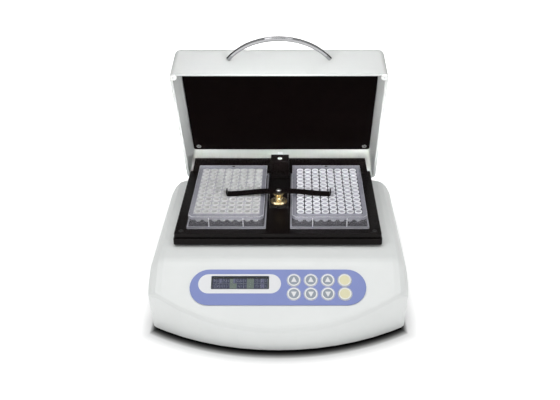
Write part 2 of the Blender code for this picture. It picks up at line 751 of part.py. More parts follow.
def make_drive(base, crank, idlers, rotor, materials):
    steel = materials["steel"]
    make_chassis(base, materials["sheet"])
    sides = HIDDEN_SEGMENTS
    spot = (CRANK_X, CRANK_Y, 0)
    bearing = turned(bearing_profile(CRANK_SHAFT_RADIUS), closed=True, count=sides)
    make_object("main_bearing", bearing, steel, base, spot)
    shaft_low = PULLEY_TOP - PULLEY_HEIGHT - 0.003
    make_object("crank_shaft", loft(crank_rings(CRANK_SHAFT_RADIUS, shaft_low)), steel, crank)
    bore = CRANK_SHAFT_RADIUS + GAP
    pulley = turned(pulley_profile(bore, DRIVE_PULLEY_RADIUS), closed=True)
    make_object("drive_pulley", pulley, materials["alloy"], crank)
    half_turn = [math.pi * step / 12 - math.pi / 2 for step in range(13)]
    outline = [(COUNTERWEIGHT_RADIUS * math.cos(a), COUNTERWEIGHT_RADIUS * math.sin(a)) for a in half_turn]
    outline += [(bore * math.cos(a), bore * math.sin(a)) for a in half_turn[::-1]]
    low = PULLEY_TOP + GAP
    weight = prism_z(outline, low, low + COUNTERWEIGHT_THICKNESS)
    make_object("counterweight", weight, materials["brass"], crank)
    for side, empty in idlers.items():
        x, y = (-IDLER_X, IDLER_Y) if side == "left" else (IDLER_X, IDLER_Y)
        bearing = turned(bearing_profile(IDLER_SHAFT_RADIUS), closed=True, count=sides)
        make_object(f"idler_bearing_{side}", bearing, steel, base, (x, y, 0))
        rings = crank_rings(IDLER_SHAFT_RADIUS, CHASSIS_TOP - CHASSIS_THICKNESS + 0.001)
        make_object(f"idler_crank_{side}", loft(rings), steel, empty)
    motor_low = CHASSIS_TOP + GAP
    motor = [
        (MOTOR_RADIUS * 0.9, motor_low),
        (MOTOR_RADIUS, motor_low + 0.002),
        (MOTOR_RADIUS, motor_low + MOTOR_HEIGHT - 0.002),
        (MOTOR_RADIUS * 0.9, motor_low + MOTOR_HEIGHT),
    ]
    make_object("motor", turned(motor, count=sides), steel, base, (CRANK_X, MOTOR_Y, 0))
    low = PULLEY_TOP - PULLEY_HEIGHT
    flange = MOTOR_PULLEY_RADIUS + PULLEY_FLANGE
    profile = [
        (MOTOR_SHAFT_RADIUS, low - 0.001),
        (MOTOR_SHAFT_RADIUS, low),
        (flange, low),
        (flange, low + PULLEY_FLANGE_THICKNESS),
        (MOTOR_PULLEY_RADIUS, low + PULLEY_FLANGE_THICKNESS),
        (MOTOR_PULLEY_RADIUS, PULLEY_TOP - PULLEY_FLANGE_THICKNESS),
        (flange, PULLEY_TOP - PULLEY_FLANGE_THICKNESS),
        (flange, PULLEY_TOP),
        (MOTOR_SHAFT_RADIUS, PULLEY_TOP),
        (MOTOR_SHAFT_RADIUS, CHASSIS_TOP),
    ]
    make_object("motor_pulley", turned(profile, count=sides), materials["alloy"], rotor)
    rings = []
    belt_low = low + PULLEY_FLANGE_THICKNESS + GAP
    belt_high = PULLEY_TOP - PULLEY_FLANGE_THICKNESS - GAP
    for inside, z in (
        (GAP, belt_low),
        (GAP + BELT_THICKNESS, belt_low),
        (GAP + BELT_THICKNESS, belt_high),
        (GAP, belt_high),
    ):
        outline = belt_outline(DRIVE_PULLEY_RADIUS + inside, MOTOR_PULLEY_RADIUS + inside)
        rings.append([Vector((x, y, z)) for x, y in outline])
    make_object("drive_belt", loft(rings, closed=True), materials["rubber"], base)


# Platform

def platform_rectangle(grow):
    half = PLATFORM_WIDTH / 2 + grow
    return (-half, PLATFORM_FRONT_Y - grow), (half, PLATFORM_REAR_Y + grow)


def make_platform(body, materials):
    black = materials["anodised"]
    sides = HIDDEN_SEGMENTS
    low, high = platform_rectangle(-CARRIER_INSET)
    sheet = slab(low, high, CARRIER_BOTTOM, CARRIER_TOP, PLATFORM_CORNER_RADIUS)
    carrier = make_object("carrier_plate", sheet, materials["sheet"], body)
    for index, (x, y) in enumerate(CRANK_SPOTS):
        profile = [(HUB_RADIUS, PIN_BEARING_BOTTOM), (HUB_RADIUS, CARRIER_BOTTOM + 0.0005)]
        join(carrier, f"hub_{index}", turned(profile, (x, y), count=sides), body)
    for index, (x, y) in enumerate(CRANK_SPOTS):
        profile = [(HUB_BORE_RADIUS, PIN_BEARING_BOTTOM - 0.002), (HUB_BORE_RADIUS, PIN_TOP + 2 * GAP)]
        cut(carrier, f"cutter_hub_{index}", turned(profile, (x, y), count=sides), body)
        inner = CRANK_PIN_RADIUS + RUNNING_GAP
        outer = inner + PIN_BEARING_WALL
        top = PIN_BEARING_BOTTOM + PIN_BEARING_HEIGHT
        profile = [(inner, PIN_BEARING_BOTTOM), (outer, PIN_BEARING_BOTTOM), (outer, top), (inner, top)]
        name = ("pin_bearing_main", "pin_bearing_left", "pin_bearing_right")[index]
        bearing = turned(profile, closed=True, count=sides)
        make_object(name, bearing, materials["steel"], body, (x, y, 0))
    low, high = platform_rectangle(TRAY_PROUD)
    tray = make_object(
        "platform_tray", slab(low, high, CARRIER_TOP + GAP, TRAY_TOP, PLATFORM_CORNER_RADIUS), black, body
    )
    add_bevel(tray, 0.0006, 1)
    low, high = platform_rectangle(-HEATER_INSET)
    mat = slab(low, high, TRAY_TOP + GAP, PLATE_BOTTOM - GAP, PLATFORM_CORNER_RADIUS)
    make_object("heater_mat", mat, materials["heater"], body)
    low, high = platform_rectangle(0)
    plate = make_object(
        "platform_plate", slab(low, high, PLATE_BOTTOM, PLATE_TOP, PLATFORM_CORNER_RADIUS), black, body
    )
    add_bevel(plate, 0.0005, 1)
    make_fence_and_tower(body, black)
    for side, sign in (("left", -1), ("right", 1)):
        centre = sign * (MICROPLATE_GAP + MICROPLATE_WIDTH) / 2
        make_microplate(f"microplate_{side}", centre, body, materials["clear"])


def make_fence_and_tower(body, material):
    z = PLATE_TOP + GAP
    front = PLATFORM_REAR_Y - FENCE_THICKNESS
    foot = PLATFORM_WIDTH / 2 - FENCE_FOOT_INSET
    top = PLATFORM_WIDTH / 2 - FENCE_TOP_INSET
    rings = []
    for half, level in ((foot, z), (foot, z + 0.003), (top, z + FENCE_HEIGHT)):
        corners = ((-half, front), (half, front), (half, PLATFORM_REAR_Y), (-half, PLATFORM_REAR_Y))
        rings.append([Vector((x, y, level)) for x, y in corners])
    make_object("rear_fence", loft(rings), material, body)
    tower_front = PLATFORM_REAR_Y - TOWER_DEPTH
    over_fence = z + FENCE_HEIGHT + GAP
    profile = [
        (tower_front, z),
        (front - GAP, z),
        (front - GAP, over_fence),
        (PLATFORM_REAR_Y, over_fence),
        (PLATFORM_REAR_Y, z + TOWER_HEIGHT),
        (tower_front, z + TOWER_HEIGHT),
    ]
    tower = make_object("centre_tower", prism_x(profile, -TOWER_WIDTH / 2, TOWER_WIDTH / 2), material, body)
    add_bevel(tower, 0.0006, 1)


def notched_rectangle(half_x, half_y, notch, z):
    """A plate outline with its two front corners cut off, which shows which way it faces."""
    outline = [
        (half_x - notch, -half_y),
        (half_x, -half_y + notch),
        (half_x, half_y),
        (-half_x, half_y),
        (-half_x, -half_y + notch),
        (-half_x + notch, -half_y),
    ]
    return [Vector((x, y, z)) for x, y in outline]


def make_microplate(name, centre_x, body, material):
    centre_y = PLATFORM_FRONT_Y + MICROPLATE_SPARE * MICROPLATE_SPARE_IN_FRONT + MICROPLATE_LENGTH / 2
    low = PLATE_TOP + GAP
    half_x = MICROPLATE_WIDTH / 2
    half_y = MICROPLATE_LENGTH / 2
    wall_x = half_x - MICROPLATE_FLANGE
    wall_y = half_y - MICROPLATE_FLANGE
    top_x = wall_x - MICROPLATE_TAPER
    top_y = wall_y - MICROPLATE_TAPER
    flange_top = low + MICROPLATE_FLANGE_HEIGHT
    notch_step = low + MICROPLATE_HEIGHT * 0.45
    rings = [
        notched_rectangle(half_x, half_y, 0.001, low),
        notched_rectangle(half_x, half_y, 0.001, flange_top),
        notched_rectangle(wall_x, wall_y, 0.001, flange_top),
        notched_rectangle(wall_x, wall_y, 0.001, notch_step),
        notched_rectangle(wall_x, wall_y, MICROPLATE_NOTCH, notch_step + 0.0005),
        notched_rectangle(top_x, top_y, MICROPLATE_NOTCH, low + MICROPLATE_HEIGHT),
    ]
    plate = make_object(name, loft(rings), material, body, (centre_x, centre_y, 0))
    cut_wells(plate, low, body, centre_x, centre_y)


def cut_wells(plate, low, body, centre_x, centre_y):
    """One conical well in the corner, repeated across and along the plate at the standard pitch."""
    first = (
        centre_x - WELL_PITCH * (WELL_COLUMNS - 1) / 2,
        centre_y - WELL_PITCH * (WELL_ROWS - 1) / 2,
        0,
    )
    profile = [(0, low + WELL_TIP_HEIGHT), (WELL_RADIUS, low + MICROPLATE_HEIGHT + GAP)]
    cone = turned(profile, count=WELL_SEGMENTS)
    bmesh.ops.remove_doubles(cone, verts=cone.verts[:], dist=GAP / 10)
    well = make_object(f"cutter_wells_{plate.name}", cone, None, body, first)
    add_array(well, WELL_COLUMNS, (WELL_PITCH, 0, 0))
    add_array(well, WELL_ROWS, (0, WELL_PITCH, 0))
    add_boolean(plate, well)


def make_clamp(platform, swivel, materials):
    """A brass spool in a steel stirrup carries a leaf bar that presses on both plates."""
    floor = PLATE_TOP + GAP
    bar_low = MICROPLATE_TOP + GAP + CLAMP_ARCH
    stirrup_x = SPOOL_LOWER_RADIUS + GAP
    outer_x = stirrup_x + STIRRUP_THICKNESS
    bend = [
        (-outer_x, floor),
        (outer_x, floor),
        (outer_x, bar_low - GAP),
        (stirrup_x, bar_low - GAP),
        (stirrup_x, floor + STIRRUP_THICKNESS),
        (-stirrup_x, floor + STIRRUP_THICKNESS),
        (-stirrup_x, bar_low - GAP),
        (-outer_x, bar_low - GAP),
    ]
    rings = [[Vector((x, y, z)) for x, z in bend] for y in (-STIRRUP_DEPTH / 2, STIRRUP_DEPTH / 2)]
    make_object("clamp_stirrup", loft(rings), materials["steel"], platform, (0, CLAMP_Y, 0))
    foot = floor + STIRRUP_THICKNESS + GAP
    top = bar_low - GAP
    rise = top - foot
    profile = [
        (SPOOL_FOOT_RADIUS, foot),
        (SPOOL_FOOT_RADIUS * 1.3, foot + 0.10 * rise),
        (SPOOL_LOWER_RADIUS * 0.96, foot + 0.24 * rise),
        (SPOOL_LOWER_RADIUS, foot + 0.32 * rise),
        (SPOOL_LOWER_RADIUS * 0.88, foot + 0.40 * rise),
        (SPOOL_WAIST_RADIUS * 1.25, foot + 0.50 * rise),
        (SPOOL_WAIST_RADIUS, foot + 0.60 * rise),
        (SPOOL_WAIST_RADIUS * 1.15, foot + 0.70 * rise),
        (SPOOL_UPPER_RADIUS * 0.86, foot + 0.88 * rise),
        (SPOOL_UPPER_RADIUS, foot + 0.96 * rise),
        (SPOOL_UPPER_RADIUS, top),
    ]
    spool = turned(profile, count=KEY_SEGMENTS)
    make_object("clamp_spool", spool, materials["brass"], platform, (0, CLAMP_Y, 0))
    bar = make_object("clamp_bar", loft(clamp_bar_rings()), materials["anodised"], swivel)
    hole_radius = SPOOL_PIN_RADIUS + GAP
    hole = turned([(hole_radius, MICROPLATE_TOP), (hole_radius, bar_low + 0.01)], count=16)
    cut(bar, "cutter_clamp_bar", hole, swivel)
    head_low = bar_low + CLAMP_THICKNESS + GAP
    screw = [
        (SPOOL_PIN_RADIUS, top + GAP),
        (SPOOL_PIN_RADIUS, head_low),
        (CLAMP_SCREW_RADIUS, head_low),
        (CLAMP_SCREW_RADIUS, head_low + CLAMP_SCREW_HEAD * 0.6),
        (CLAMP_SCREW_RADIUS * 0.7, head_low + CLAMP_SCREW_HEAD),
    ]
    make_object("clamp_screw", turned(screw, count=16), materials["steel"], platform, (0, CLAMP_Y, 0))


def clamp_bar_rings():
    """Cross sections along the bar: flat in the middle, arching down to each tip, then a raised tab."""
    low = MICROPLATE_TOP + GAP
    flat = SPOOL_LOWER_RADIUS + 2 * STIRRUP_THICKNESS
    bend_x = CLAMP_HALF_SPAN - 0.002
    steps = 5
    half = []
    for step in range(steps + 1):
        x = flat + (bend_x - flat) * step / steps
        fall = (1 - math.cos(math.pi * step / steps)) / 2
        half.append((x, low + CLAMP_ARCH * (1 - fall), 0.0))
    half.append((CLAMP_HALF_SPAN - CLAMP_THICKNESS / 2, low + 0.0008, math.radians(60)))
    half.append((CLAMP_HALF_SPAN + 0.0002, low + CLAMP_TAB, math.radians(84)))
    stations = [(-x, z, -lean) for x, z, lean in half[::-1]] + half
    rings = []
    across = Vector((0, CLAMP_WIDTH / 2, 0))
    for x, z, lean in stations:
        up = Vector((-math.sin(lean), 0, math.cos(lean))) * CLAMP_THICKNESS
        base = Vector((x, 0, z))
        rings.append([base - across, base + across, base + up + across, base + up - across])
    return rings


# Lid, in closed coordinates

def lid_ring(inset, z, radius):
    half = LID_WIDTH / 2 - inset
    return rounded_rectangle((-half, LID_FRONT_Y + inset), (half, LID_REAR_Y - inset), radius, z, 5)


def lid_draft(z):
    return LID_DRAFT * (z - RIM_Z) / LID_HEIGHT


def make_lid(body, materials):
    """One skin from the ceiling down the inner wall, round the rim and up the outer wall to the top."""
    shift = Vector((0, -HINGE_Y, -HINGE_Z))
    rings = [lid_ring(LID_WALL + lid_draft(z), z, LID_INNER_CORNER_RADIUS) for z in (CEILING_Z, RIM_Z)]
    rings.append(lid_ring(0, RIM_Z, LID_CORNER_RADIUS))
    steps = 4
    for step in range(steps + 1):
        angle = math.pi / 2 * step / steps
        z = LID_TOP - LID_TOP_RADIUS * (1 - math.sin(angle))
        inset = lid_draft(z) + LID_TOP_RADIUS * (1 - math.cos(angle))
        radius = LID_CORNER_RADIUS - (LID_CORNER_RADIUS - LID_INNER_CORNER_RADIUS) * (1 - math.cos(angle))
        rings.append(lid_ring(inset, z, radius))
    make_object("lid_shell", loft(rings), materials["housing"], body, shift)
    inset = LID_WALL + LID_DRAFT + 2 * GAP
    half = LID_WIDTH / 2 - inset
    front = LID_FRONT_Y + inset
    rear = LID_REAR_Y - inset
    top = CEILING_Z - GAP
    pad = slab(
        (-half + INSULATION_INSET, front + INSULATION_INSET),
        (half - INSULATION_INSET, rear - INSULATION_INSET),
        top - INSULATION_THICKNESS,
        top,
        LID_INNER_CORNER_RADIUS,
    )
    make_object("lid_insulation", pad, materials["foam"], body, shift)
    panel = slab(
        (-half, front),
        (half, rear - HEATER_PANEL_REAR_GAP),
        HEATER_PANEL_Z,
        HEATER_PANEL_Z + HEATER_PANEL_THICKNESS,
        LID_INNER_CORNER_RADIUS,
    )
    make_object("lid_heater_panel", panel, materials["black_panel"], body, shift)
    for side, sign in (("left", -1), ("right", 1)):
        x = sign * (LID_WIDTH / 2 - BUMPER_INSET)
        y = LID_FRONT_Y + BUMPER_INSET
        profile = [
            (BUMPER_RADIUS * 0.85, DECK_HEIGHT + GAP),
            (BUMPER_RADIUS, DECK_HEIGHT + 2 * GAP),
            (BUMPER_RADIUS, RIM_Z - GAP),
        ]
        bumper = turned(profile, count=20)
        make_object(f"lid_bumper_{side}", bumper, materials["rubber"], body, Vector((x, y, 0)) + shift)
    make_handle(body, materials["chrome"])


def make_handle(body, material):
    """A rod bent to one arc, whose ends meet the lid's front wall."""
    curve = bpy.data.curves.new("lid_handle", "CURVE")
    curve.dimensions = "3D"
    curve.bevel_depth = HANDLE_ROD_RADIUS
    curve.bevel_resolution = 2
    curve.use_fill_caps = True
    z = RIM_Z + HANDLE_ABOVE_RIM
    wall_y = LID_FRONT_Y + lid_draft(z) - HANDLE_FOOT_GAP
    radius = (HANDLE_HALF_SPAN ** 2 + HANDLE_RISE ** 2) / (2 * HANDLE_RISE)
    half_angle = math.asin(HANDLE_HALF_SPAN / radius)
    steps = 18
    spline = curve.splines.new("POLY")
    spline.points.add(steps)
    for index in range(steps + 1):
        angle = half_angle * (2 * index / steps - 1)
        x = radius * math.sin(angle)
        y = wall_y - HANDLE_RISE + radius * (1 - math.cos(angle))
        spline.points[index].co = (x, y - HINGE_Y, z - HINGE_Z, 1)
    handle = bpy.data.objects.new("lid_handle", curve)
    curve.materials.append(material)
    handle.parent = body
    bpy.context.scene.collection.objects.link(handle)


# Hinges and rear sockets

def make_hinges(base, lid, materials):
    steel = materials["steel"]
    foot_z = DECK_HEIGHT - HOUSING_WALL - GAP
    seat_z = HINGE_Z - HINGE_BARREL_RADIUS - 3 * GAP
    ear = HINGE_BARREL_RADIUS
    for side, sign in (("left", -1), ("right", 1)):
        x = sign * HINGE_SPACING
        half = HINGE_LENGTH / 2
        half_turn = [math.pi * step / 8 for step in range(9)]
        outline = [(HINGE_Y + ear * math.cos(a), HINGE_Z + ear * math.sin(a)) for a in half_turn]
        outline += [
            (HINGE_Y - ear, seat_z),
            (HINGE_Y - HINGE_FOOT_DEPTH, foot_z),
            (HINGE_Y - HINGE_FOOT_DEPTH, foot_z - 0.002),
            (HINGE_Y - ear, seat_z - 0.002),
            (HINGE_Y + ear, seat_z - 0.002),
        ]
        bracket = make_object(f"hinge_bracket_{side}", prism_x(outline, x - half, x + half), steel, base)
        gap_low = x - half + HINGE_EAR
        gap_high = x + half - HINGE_EAR
        slot = block(
            (gap_low, HINGE_Y - 2 * HINGE_FOOT_DEPTH, seat_z),
            (gap_high, HINGE_Y + HINGE_FOOT_DEPTH, DECK_HEIGHT + 0.01),
        )
        cut(bracket, f"cutter_bracket_slot_{side}", slot, base)
        bore = rod_x(HINGE_PIN_RADIUS + RUNNING_GAP, x - half - 0.002, x + half + 0.002)
        cut(bracket, f"cutter_bracket_bore_{side}", bore, base)
        make_object(f"hinge_pin_{side}", rod_x(HINGE_PIN_RADIUS, x - half, x + half), steel, base)
        leaf_low = gap_low + GAP
        leaf_high = gap_high - GAP
        wall_face = LID_REAR_Y - LID_WALL - lid_draft(HINGE_Z + HINGE_LEAF_HEIGHT) - GAP
        leaf_front = wall_face - HINGE_LEAF_THICKNESS
        barrel = [
            (HINGE_BARREL_RADIUS * math.cos(a), HINGE_BARREL_RADIUS * math.sin(a))
            for a in [2 * math.pi * s / 20 for s in range(20)]
        ]
        leaf = make_object(f"hinge_leaf_{side}", prism_x(barrel, leaf_low, leaf_high), steel, lid)
        arm_front = leaf_front - HINGE_Y
        arm_rear = wall_face - HINGE_Y
        elbow = HINGE_LEAF_THICKNESS * 1.1
        arm = [
            (arm_front, 0),
            (-HINGE_PIN_RADIUS, 0),
            (-HINGE_PIN_RADIUS, elbow),
            (arm_rear, elbow),
            (arm_rear, HINGE_LEAF_HEIGHT),
            (arm_front, HINGE_LEAF_HEIGHT),
        ]
        join(leaf, f"hinge_arm_{side}", prism_x(arm, leaf_low, leaf_high), lid)
        bore = rod_x(HINGE_PIN_RADIUS + RUNNING_GAP, leaf_low - 0.002, leaf_high + 0.002, 0, 0)
        cut(leaf, f"cutter_leaf_bore_{side}", bore, lid)


def rod_x(radius, x_low, x_high, y=HINGE_Y, z=HINGE_Z, count=16):
    outline = []
    for step in range(count):
        angle = 2 * math.pi * step / count
        outline.append((y + radius * math.cos(angle), z + radius * math.sin(angle)))
    return prism_x(outline, x_low, x_high)


def make_rear_sockets(base, rocker, materials):
    half = INLET_SIZE / 2
    body = block(
        (INLET_X - half, REAR_WALL_Y - INLET_DEPTH, SOCKET_Z - half),
        (INLET_X + half, REAR_WALL_Y + INLET_PROUD, SOCKET_Z + half),
    )
    inlet = make_object("dc_inlet", body, materials["black_plastic"], base)
    bore = turned([(INLET_BORE_RADIUS, -0.010), (INLET_BORE_RADIUS, 0.010)], count=20)
    place = Matrix.Translation((INLET_X, REAR_WALL_Y, SOCKET_Z))
    bore.transform(place @ Matrix.Rotation(math.pi / 2, 4, "X"))
    cut(inlet, "cutter_inlet_bore", bore, base)
    half_x = SWITCH_WIDTH / 2
    half_z = SWITCH_HEIGHT / 2
    body = block(
        (SWITCH_X - half_x, REAR_WALL_Y - SWITCH_DEPTH, SOCKET_Z - half_z),
        (SWITCH_X + half_x, REAR_WALL_Y + SWITCH_FLANGE_THICKNESS, SOCKET_Z + half_z),
    )
    frame = make_object("switch_frame", body, materials["black_plastic"], base)
    lip = SWITCH_FLANGE
    collar = block(
        (SWITCH_X - half_x - lip, REAR_WALL_Y + GAP, SOCKET_Z - half_z - lip),
        (SWITCH_X + half_x + lip, REAR_WALL_Y + GAP + SWITCH_FLANGE_THICKNESS, SOCKET_Z + half_z + lip),
    )
    join(frame, "switch_collar", collar, base)
    rocker_half_x = half_x - 0.0015
    rocker_half_z = half_z - 0.0020
    well = block(
        (SWITCH_X - rocker_half_x - 2 * GAP, REAR_WALL_Y - 0.006, SOCKET_Z - rocker_half_z - 2 * GAP),
        (SWITCH_X + rocker_half_x + 2 * GAP, REAR_WALL_Y + 0.010, SOCKET_Z + rocker_half_z + 2 * GAP),
    )
    cut(frame, "cutter_switch_well", well, base)
    outline = [
        (-0.0030, -rocker_half_z * 0.55),
        (ROCKER_PROUD, -rocker_half_z),
        (ROCKER_PROUD * 0.35, 0),
        (ROCKER_PROUD, rocker_half_z),
        (-0.0030, rocker_half_z * 0.55),
    ]
    shape = prism_x(outline, -rocker_half_x, rocker_half_x)
    key = make_object("switch_rocker", shape, materials["black_plastic"], rocker)
    add_bevel(key, 0.0003, 1)


# Assembly

def make_materials():
    return {
        "housing": make_material("painted_housing", (0.80, 0.81, 0.80), 0.38),
        "steel": make_material("bright_steel", (0.62, 0.62, 0.62), 0.28, 1.0),
        "sheet": make_material("zinc_sheet", (0.48, 0.49, 0.50), 0.42, 1.0),
        "alloy": make_material("turned_alloy", (0.70, 0.71, 0.72), 0.32, 1.0),
        "chrome": make_material("chrome", (0.82, 0.82, 0.83), 0.06, 1.0),
        "brass": make_material("brass", (0.72, 0.56, 0.28), 0.22, 1.0),
        "rubber": make_material("black_rubber", (0.03, 0.03, 0.03), 0.75),
        "anodised": make_material("black_anodised", (0.015, 0.013, 0.014), 0.24, 0.6),
        "black_panel": make_material("black_panel", (0.012, 0.010, 0.009), 0.45),
        "foam": make_material("insulation_foam", (0.60, 0.60, 0.57), 0.9),
        "heater": make_material("heater_mat", (0.45, 0.16, 0.04), 0.6),
        "overlay": make_material("blue_overlay", (0.22, 0.27, 0.58), 0.35),
        "window": make_material("display_window", (0.30, 0.34, 0.30), 0.08),
        "display": make_material("display_module", (0.16, 0.20, 0.16), 0.4),
        "board": make_material("circuit_board", (0.02, 0.16, 0.06), 0.5),
        "key": make_material("grey_key", (0.27, 0.30, 0.34), 0.4),
        "yellow_key": make_material("yellow_key", (0.90, 0.86, 0.50), 0.4),
        "black_plastic": make_material("black_plastic", (0.02, 0.02, 0.02), 0.4),
        "clear": make_material("clear_plastic", (0.78, 0.79, 0.82), 0.15),
    }


def centre_on_outline(root):
    """Slides the whole object so that its outline is centred over the origin."""
    bpy.context.view_layer.update()
    graph = bpy.context.evaluated_depsgraph_get()
    lows = []
    highs = []
    for thing in bpy.context.scene.objects:
        if thing.type == "EMPTY" or thing.hide_render:
            continue
        shape = thing.evaluated_get(graph).to_mesh()
        ys = [(thing.matrix_world @ vertex.co).y for vertex in shape.vertices]
        lows.append(min(ys))
        highs.append(max(ys))
    root.location.y = -(min(lows) + max(highs)) / 2


def main():
    clear_scene()
    materials = make_materials()
    root = make_empty("incubator")
    base = make_empty("base_body", parent=root)
    panel = make_empty("keypad_plane", parent=base)
    panel.matrix_local = panel_matrix()
    crank = make_empty("crank_axis", (CRANK_X, CRANK_Y, 0), base)
    idlers = {
        "left": make_empty("idler_axis_left", (-IDLER_X, IDLER_Y, 0), base),
        "right": make_empty("idler_axis_right", (IDLER_X, IDLER_Y, 0), base),
    }
    rotor = make_empty("motor_axis", (CRANK_X, MOTOR_Y, 0), base)
    platform = make_empty("platform_body", (-ORBIT_RADIUS, 0, 0), base)
    swivel = make_empty("clamp_axis", (0, CLAMP_Y, 0), platform)
    lid = make_empty("lid_axis", (0, HINGE_Y, HINGE_Z), base)
    lid.rotation_euler.x = -LID_OPEN_ANGLE
    rocker = make_empty("rocker_axis", (SWITCH_X, REAR_WALL_Y + SWITCH_FLANGE_THICKNESS, SOCKET_Z), base)
    rocker.rotation_euler.x = -ROCKER_TILT

    make_base_housing(base, materials["housing"])
    make_bottom(base, materials["sheet"], materials["rubber"])
    make_keypad(panel, materials)
    make_drive(base, crank, idlers, rotor, materials)
    make_platform(platform, materials)
    make_clamp(platform, swivel, materials)
    make_lid(lid, materials)
    make_hinges(base, lid, materials)
    make_rear_sockets(base, rocker, materials)
    centre_on_outline(root)


main()
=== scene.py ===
"""Looks for the microplate shaking incubator: camera, light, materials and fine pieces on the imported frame.

Metres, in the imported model's frame. Names of nodes and bodies are those of the record.
"""

import json
import math

import bmesh
import bpy
from mathutils import Matrix, Vector


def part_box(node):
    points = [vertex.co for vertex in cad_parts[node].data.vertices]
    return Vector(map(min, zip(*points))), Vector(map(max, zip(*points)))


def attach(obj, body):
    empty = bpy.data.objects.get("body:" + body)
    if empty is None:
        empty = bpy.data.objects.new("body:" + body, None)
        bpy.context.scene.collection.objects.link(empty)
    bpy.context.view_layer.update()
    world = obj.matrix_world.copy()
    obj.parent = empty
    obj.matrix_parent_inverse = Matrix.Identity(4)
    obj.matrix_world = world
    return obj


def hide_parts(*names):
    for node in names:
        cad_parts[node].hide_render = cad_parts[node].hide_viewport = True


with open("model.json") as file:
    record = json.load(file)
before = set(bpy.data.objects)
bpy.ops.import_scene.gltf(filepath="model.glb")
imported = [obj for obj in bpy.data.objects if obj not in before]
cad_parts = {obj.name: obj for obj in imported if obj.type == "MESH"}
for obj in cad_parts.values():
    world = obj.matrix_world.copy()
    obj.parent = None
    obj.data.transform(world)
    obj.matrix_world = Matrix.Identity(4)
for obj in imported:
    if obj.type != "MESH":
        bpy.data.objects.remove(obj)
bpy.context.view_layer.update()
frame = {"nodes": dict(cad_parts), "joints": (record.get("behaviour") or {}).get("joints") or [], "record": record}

NODES = frame["nodes"]
JOINTS = {joint["name"]: joint for joint in frame["joints"]}
BASE_LOW = Vector(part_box("base_housing")[0])

# Where the photograph was taken from
CAMERA_X = 0.0186
CAMERA_AHEAD = 0.606
CAMERA_HEIGHT = 0.525
CAMERA_DOWN = math.radians(29)
CAMERA_LENS = 49.18
CAMERA_SHIFT = -0.0286

# The sloped panel and what is printed on it, measured down the slope from its break line
PANEL_BREAK_BACK = 0.067
PANEL_SLOPE = math.radians(31)
DECK_HEIGHT = 0.080
OVERLAY_TOP = 0.0011
PRINT_LIFT = 0.00006
PILL_LEFT = -0.0824
PILL_RIGHT = 0.0031
PILL_DOWN = 0.0278
PILL_HEIGHT = 0.0215
PILL_ROUND = 0.999
WINDOW_LEFT = -0.0688
WINDOW_RIGHT = -0.0095
WINDOW_DOWN = 0.0264
WINDOW_HEIGHT = 0.0142
WINDOW_GAP = 0.0003
WINDOW_CORNER = 0.0008

# The display's glass, under the overlay's face. A row is its text, and how far down its digits stand
DISPLAY_DEPTH = 0.0012
DISPLAY_ROWS = (("00120 1200  60.0", 0.0001), ("00000  000  60.0", 0.0060))
DIGIT_WIDTH = 0.0029
DIGIT_HEIGHT = 0.0050
DIGIT_PITCH = 0.00354
DIGIT_INSET = 0.0016
DIGIT_LINE = 0.00112
DIGIT_LEVELS = (0.00004, 0.00012)
CELL_BORDER = 0.0003
CELL_SHARE = 0.97
CELL_LEVEL = 0.00003
SEGMENTS = {"0": "abcdef", "1": "bc", "2": "abged", "6": "afgedc"}

# The display's frame: insets at its left, bottom, right and top, and the corner's radius, outside and inside. Its
# wide top is painted shadow under the window's upper edge
BEZEL_OUTER = (0.0001, 0.0001, 0.0001, 0.0001, 0.0010)
BEZEL_INNER = (0.0013, 0.0008, 0.0010, 0.0023, 0.0005)
BEZEL_THICK = 0.0001

# Keys
KEY_FIRST_X = 0.0164
KEY_PITCH_X = 0.0175
KEY_TOP_DOWN = 0.0239
KEY_PITCH_DOWN = 0.0152
KEY_TOP = 0.0019
KEY_RADIUS = 0.0067
KEY_RING_OUTER = 0.0074
KEY_RING_INNER = 0.0071
KEY_SIDES = 32
KEY_COLUMNS = 4
YELLOW_COLUMN = 3
GREY_FACE_SHARE = 0.78
YELLOW_FACE_SHARE = 0.80
FACE_SINK = 0.0002
FACE_DISH = 0.00003
FACE_CREST = (0.96, 0.80)
FACE_BASIN = 0.70
ARROW_FOOT = 0.0022
ARROW_HALF_FOOT = 0.0029
ARROW_TIP = 0.0031
ARROW_HALF_TIP = 0.0004
ARROW_SINK = 0.00002

# Microplates, with 96 cups that taper under the deck: each profile pair is a radius and a depth
WELL_PITCH = 0.009
WELLS_ACROSS = 8
WELLS_DEEP = 12
WELL_SIDES = 16
WELL_MOUTH = 0.0040
WELL_PROFILE = (
    (0.0012, 0.0118),
    (0.0026, 0.0112),
    (0.0034, 0.0096),
    (0.0037, 0.0070),
    (0.0040, 0.0002),
    (0.0034, 0.0002),
    (0.0030, 0.0050),
    (0.0016, 0.0066),
)
RIM_OUTER = 0.0041
RIM_INNER = 0.0031
RIM_LEVELS = (-0.0001, 0.0007)
FLANGE_WIDTH = 0.0026
WALL_X = 0.08548 / 2 - FLANGE_WIDTH
WALL_Y = 0.12776 / 2 - FLANGE_WIDTH
WALL_THICK = 0.0006
WALL_CUT = 0.004
BORDER_CUT = 0.0002
FLANGE_CUT = 0.001
DECK_BELOW_TOP = 0.0009
EDGE_BELOW_TOP = 0.0001
LIP_BELOW_DECK = 0.0030
SKIRT_STEP_TOP = 0.0068
SKIRT_STEP = 0.0064
SKIRT_OUT = (0.0005, 0.0007, 0.0008, 0.0009)
FLANGE_TOP = 0.0025
FLANGE_BROW = 0.0024
FLANGE_SOLE = 0.0001
FLANGE_SOLE_OUT = 0.0016
RIB_X = 0.0185
RIB_HALF = 0.0004
RIB_OUT = (0.0007, 0.0014)
RIB_BELOW_DECK = 0.001
TOP_EDGE_THICK = 0.0005
FLANGE_EDGE_THICK = 0.0004
FLANGE_EDGE = 0.0007
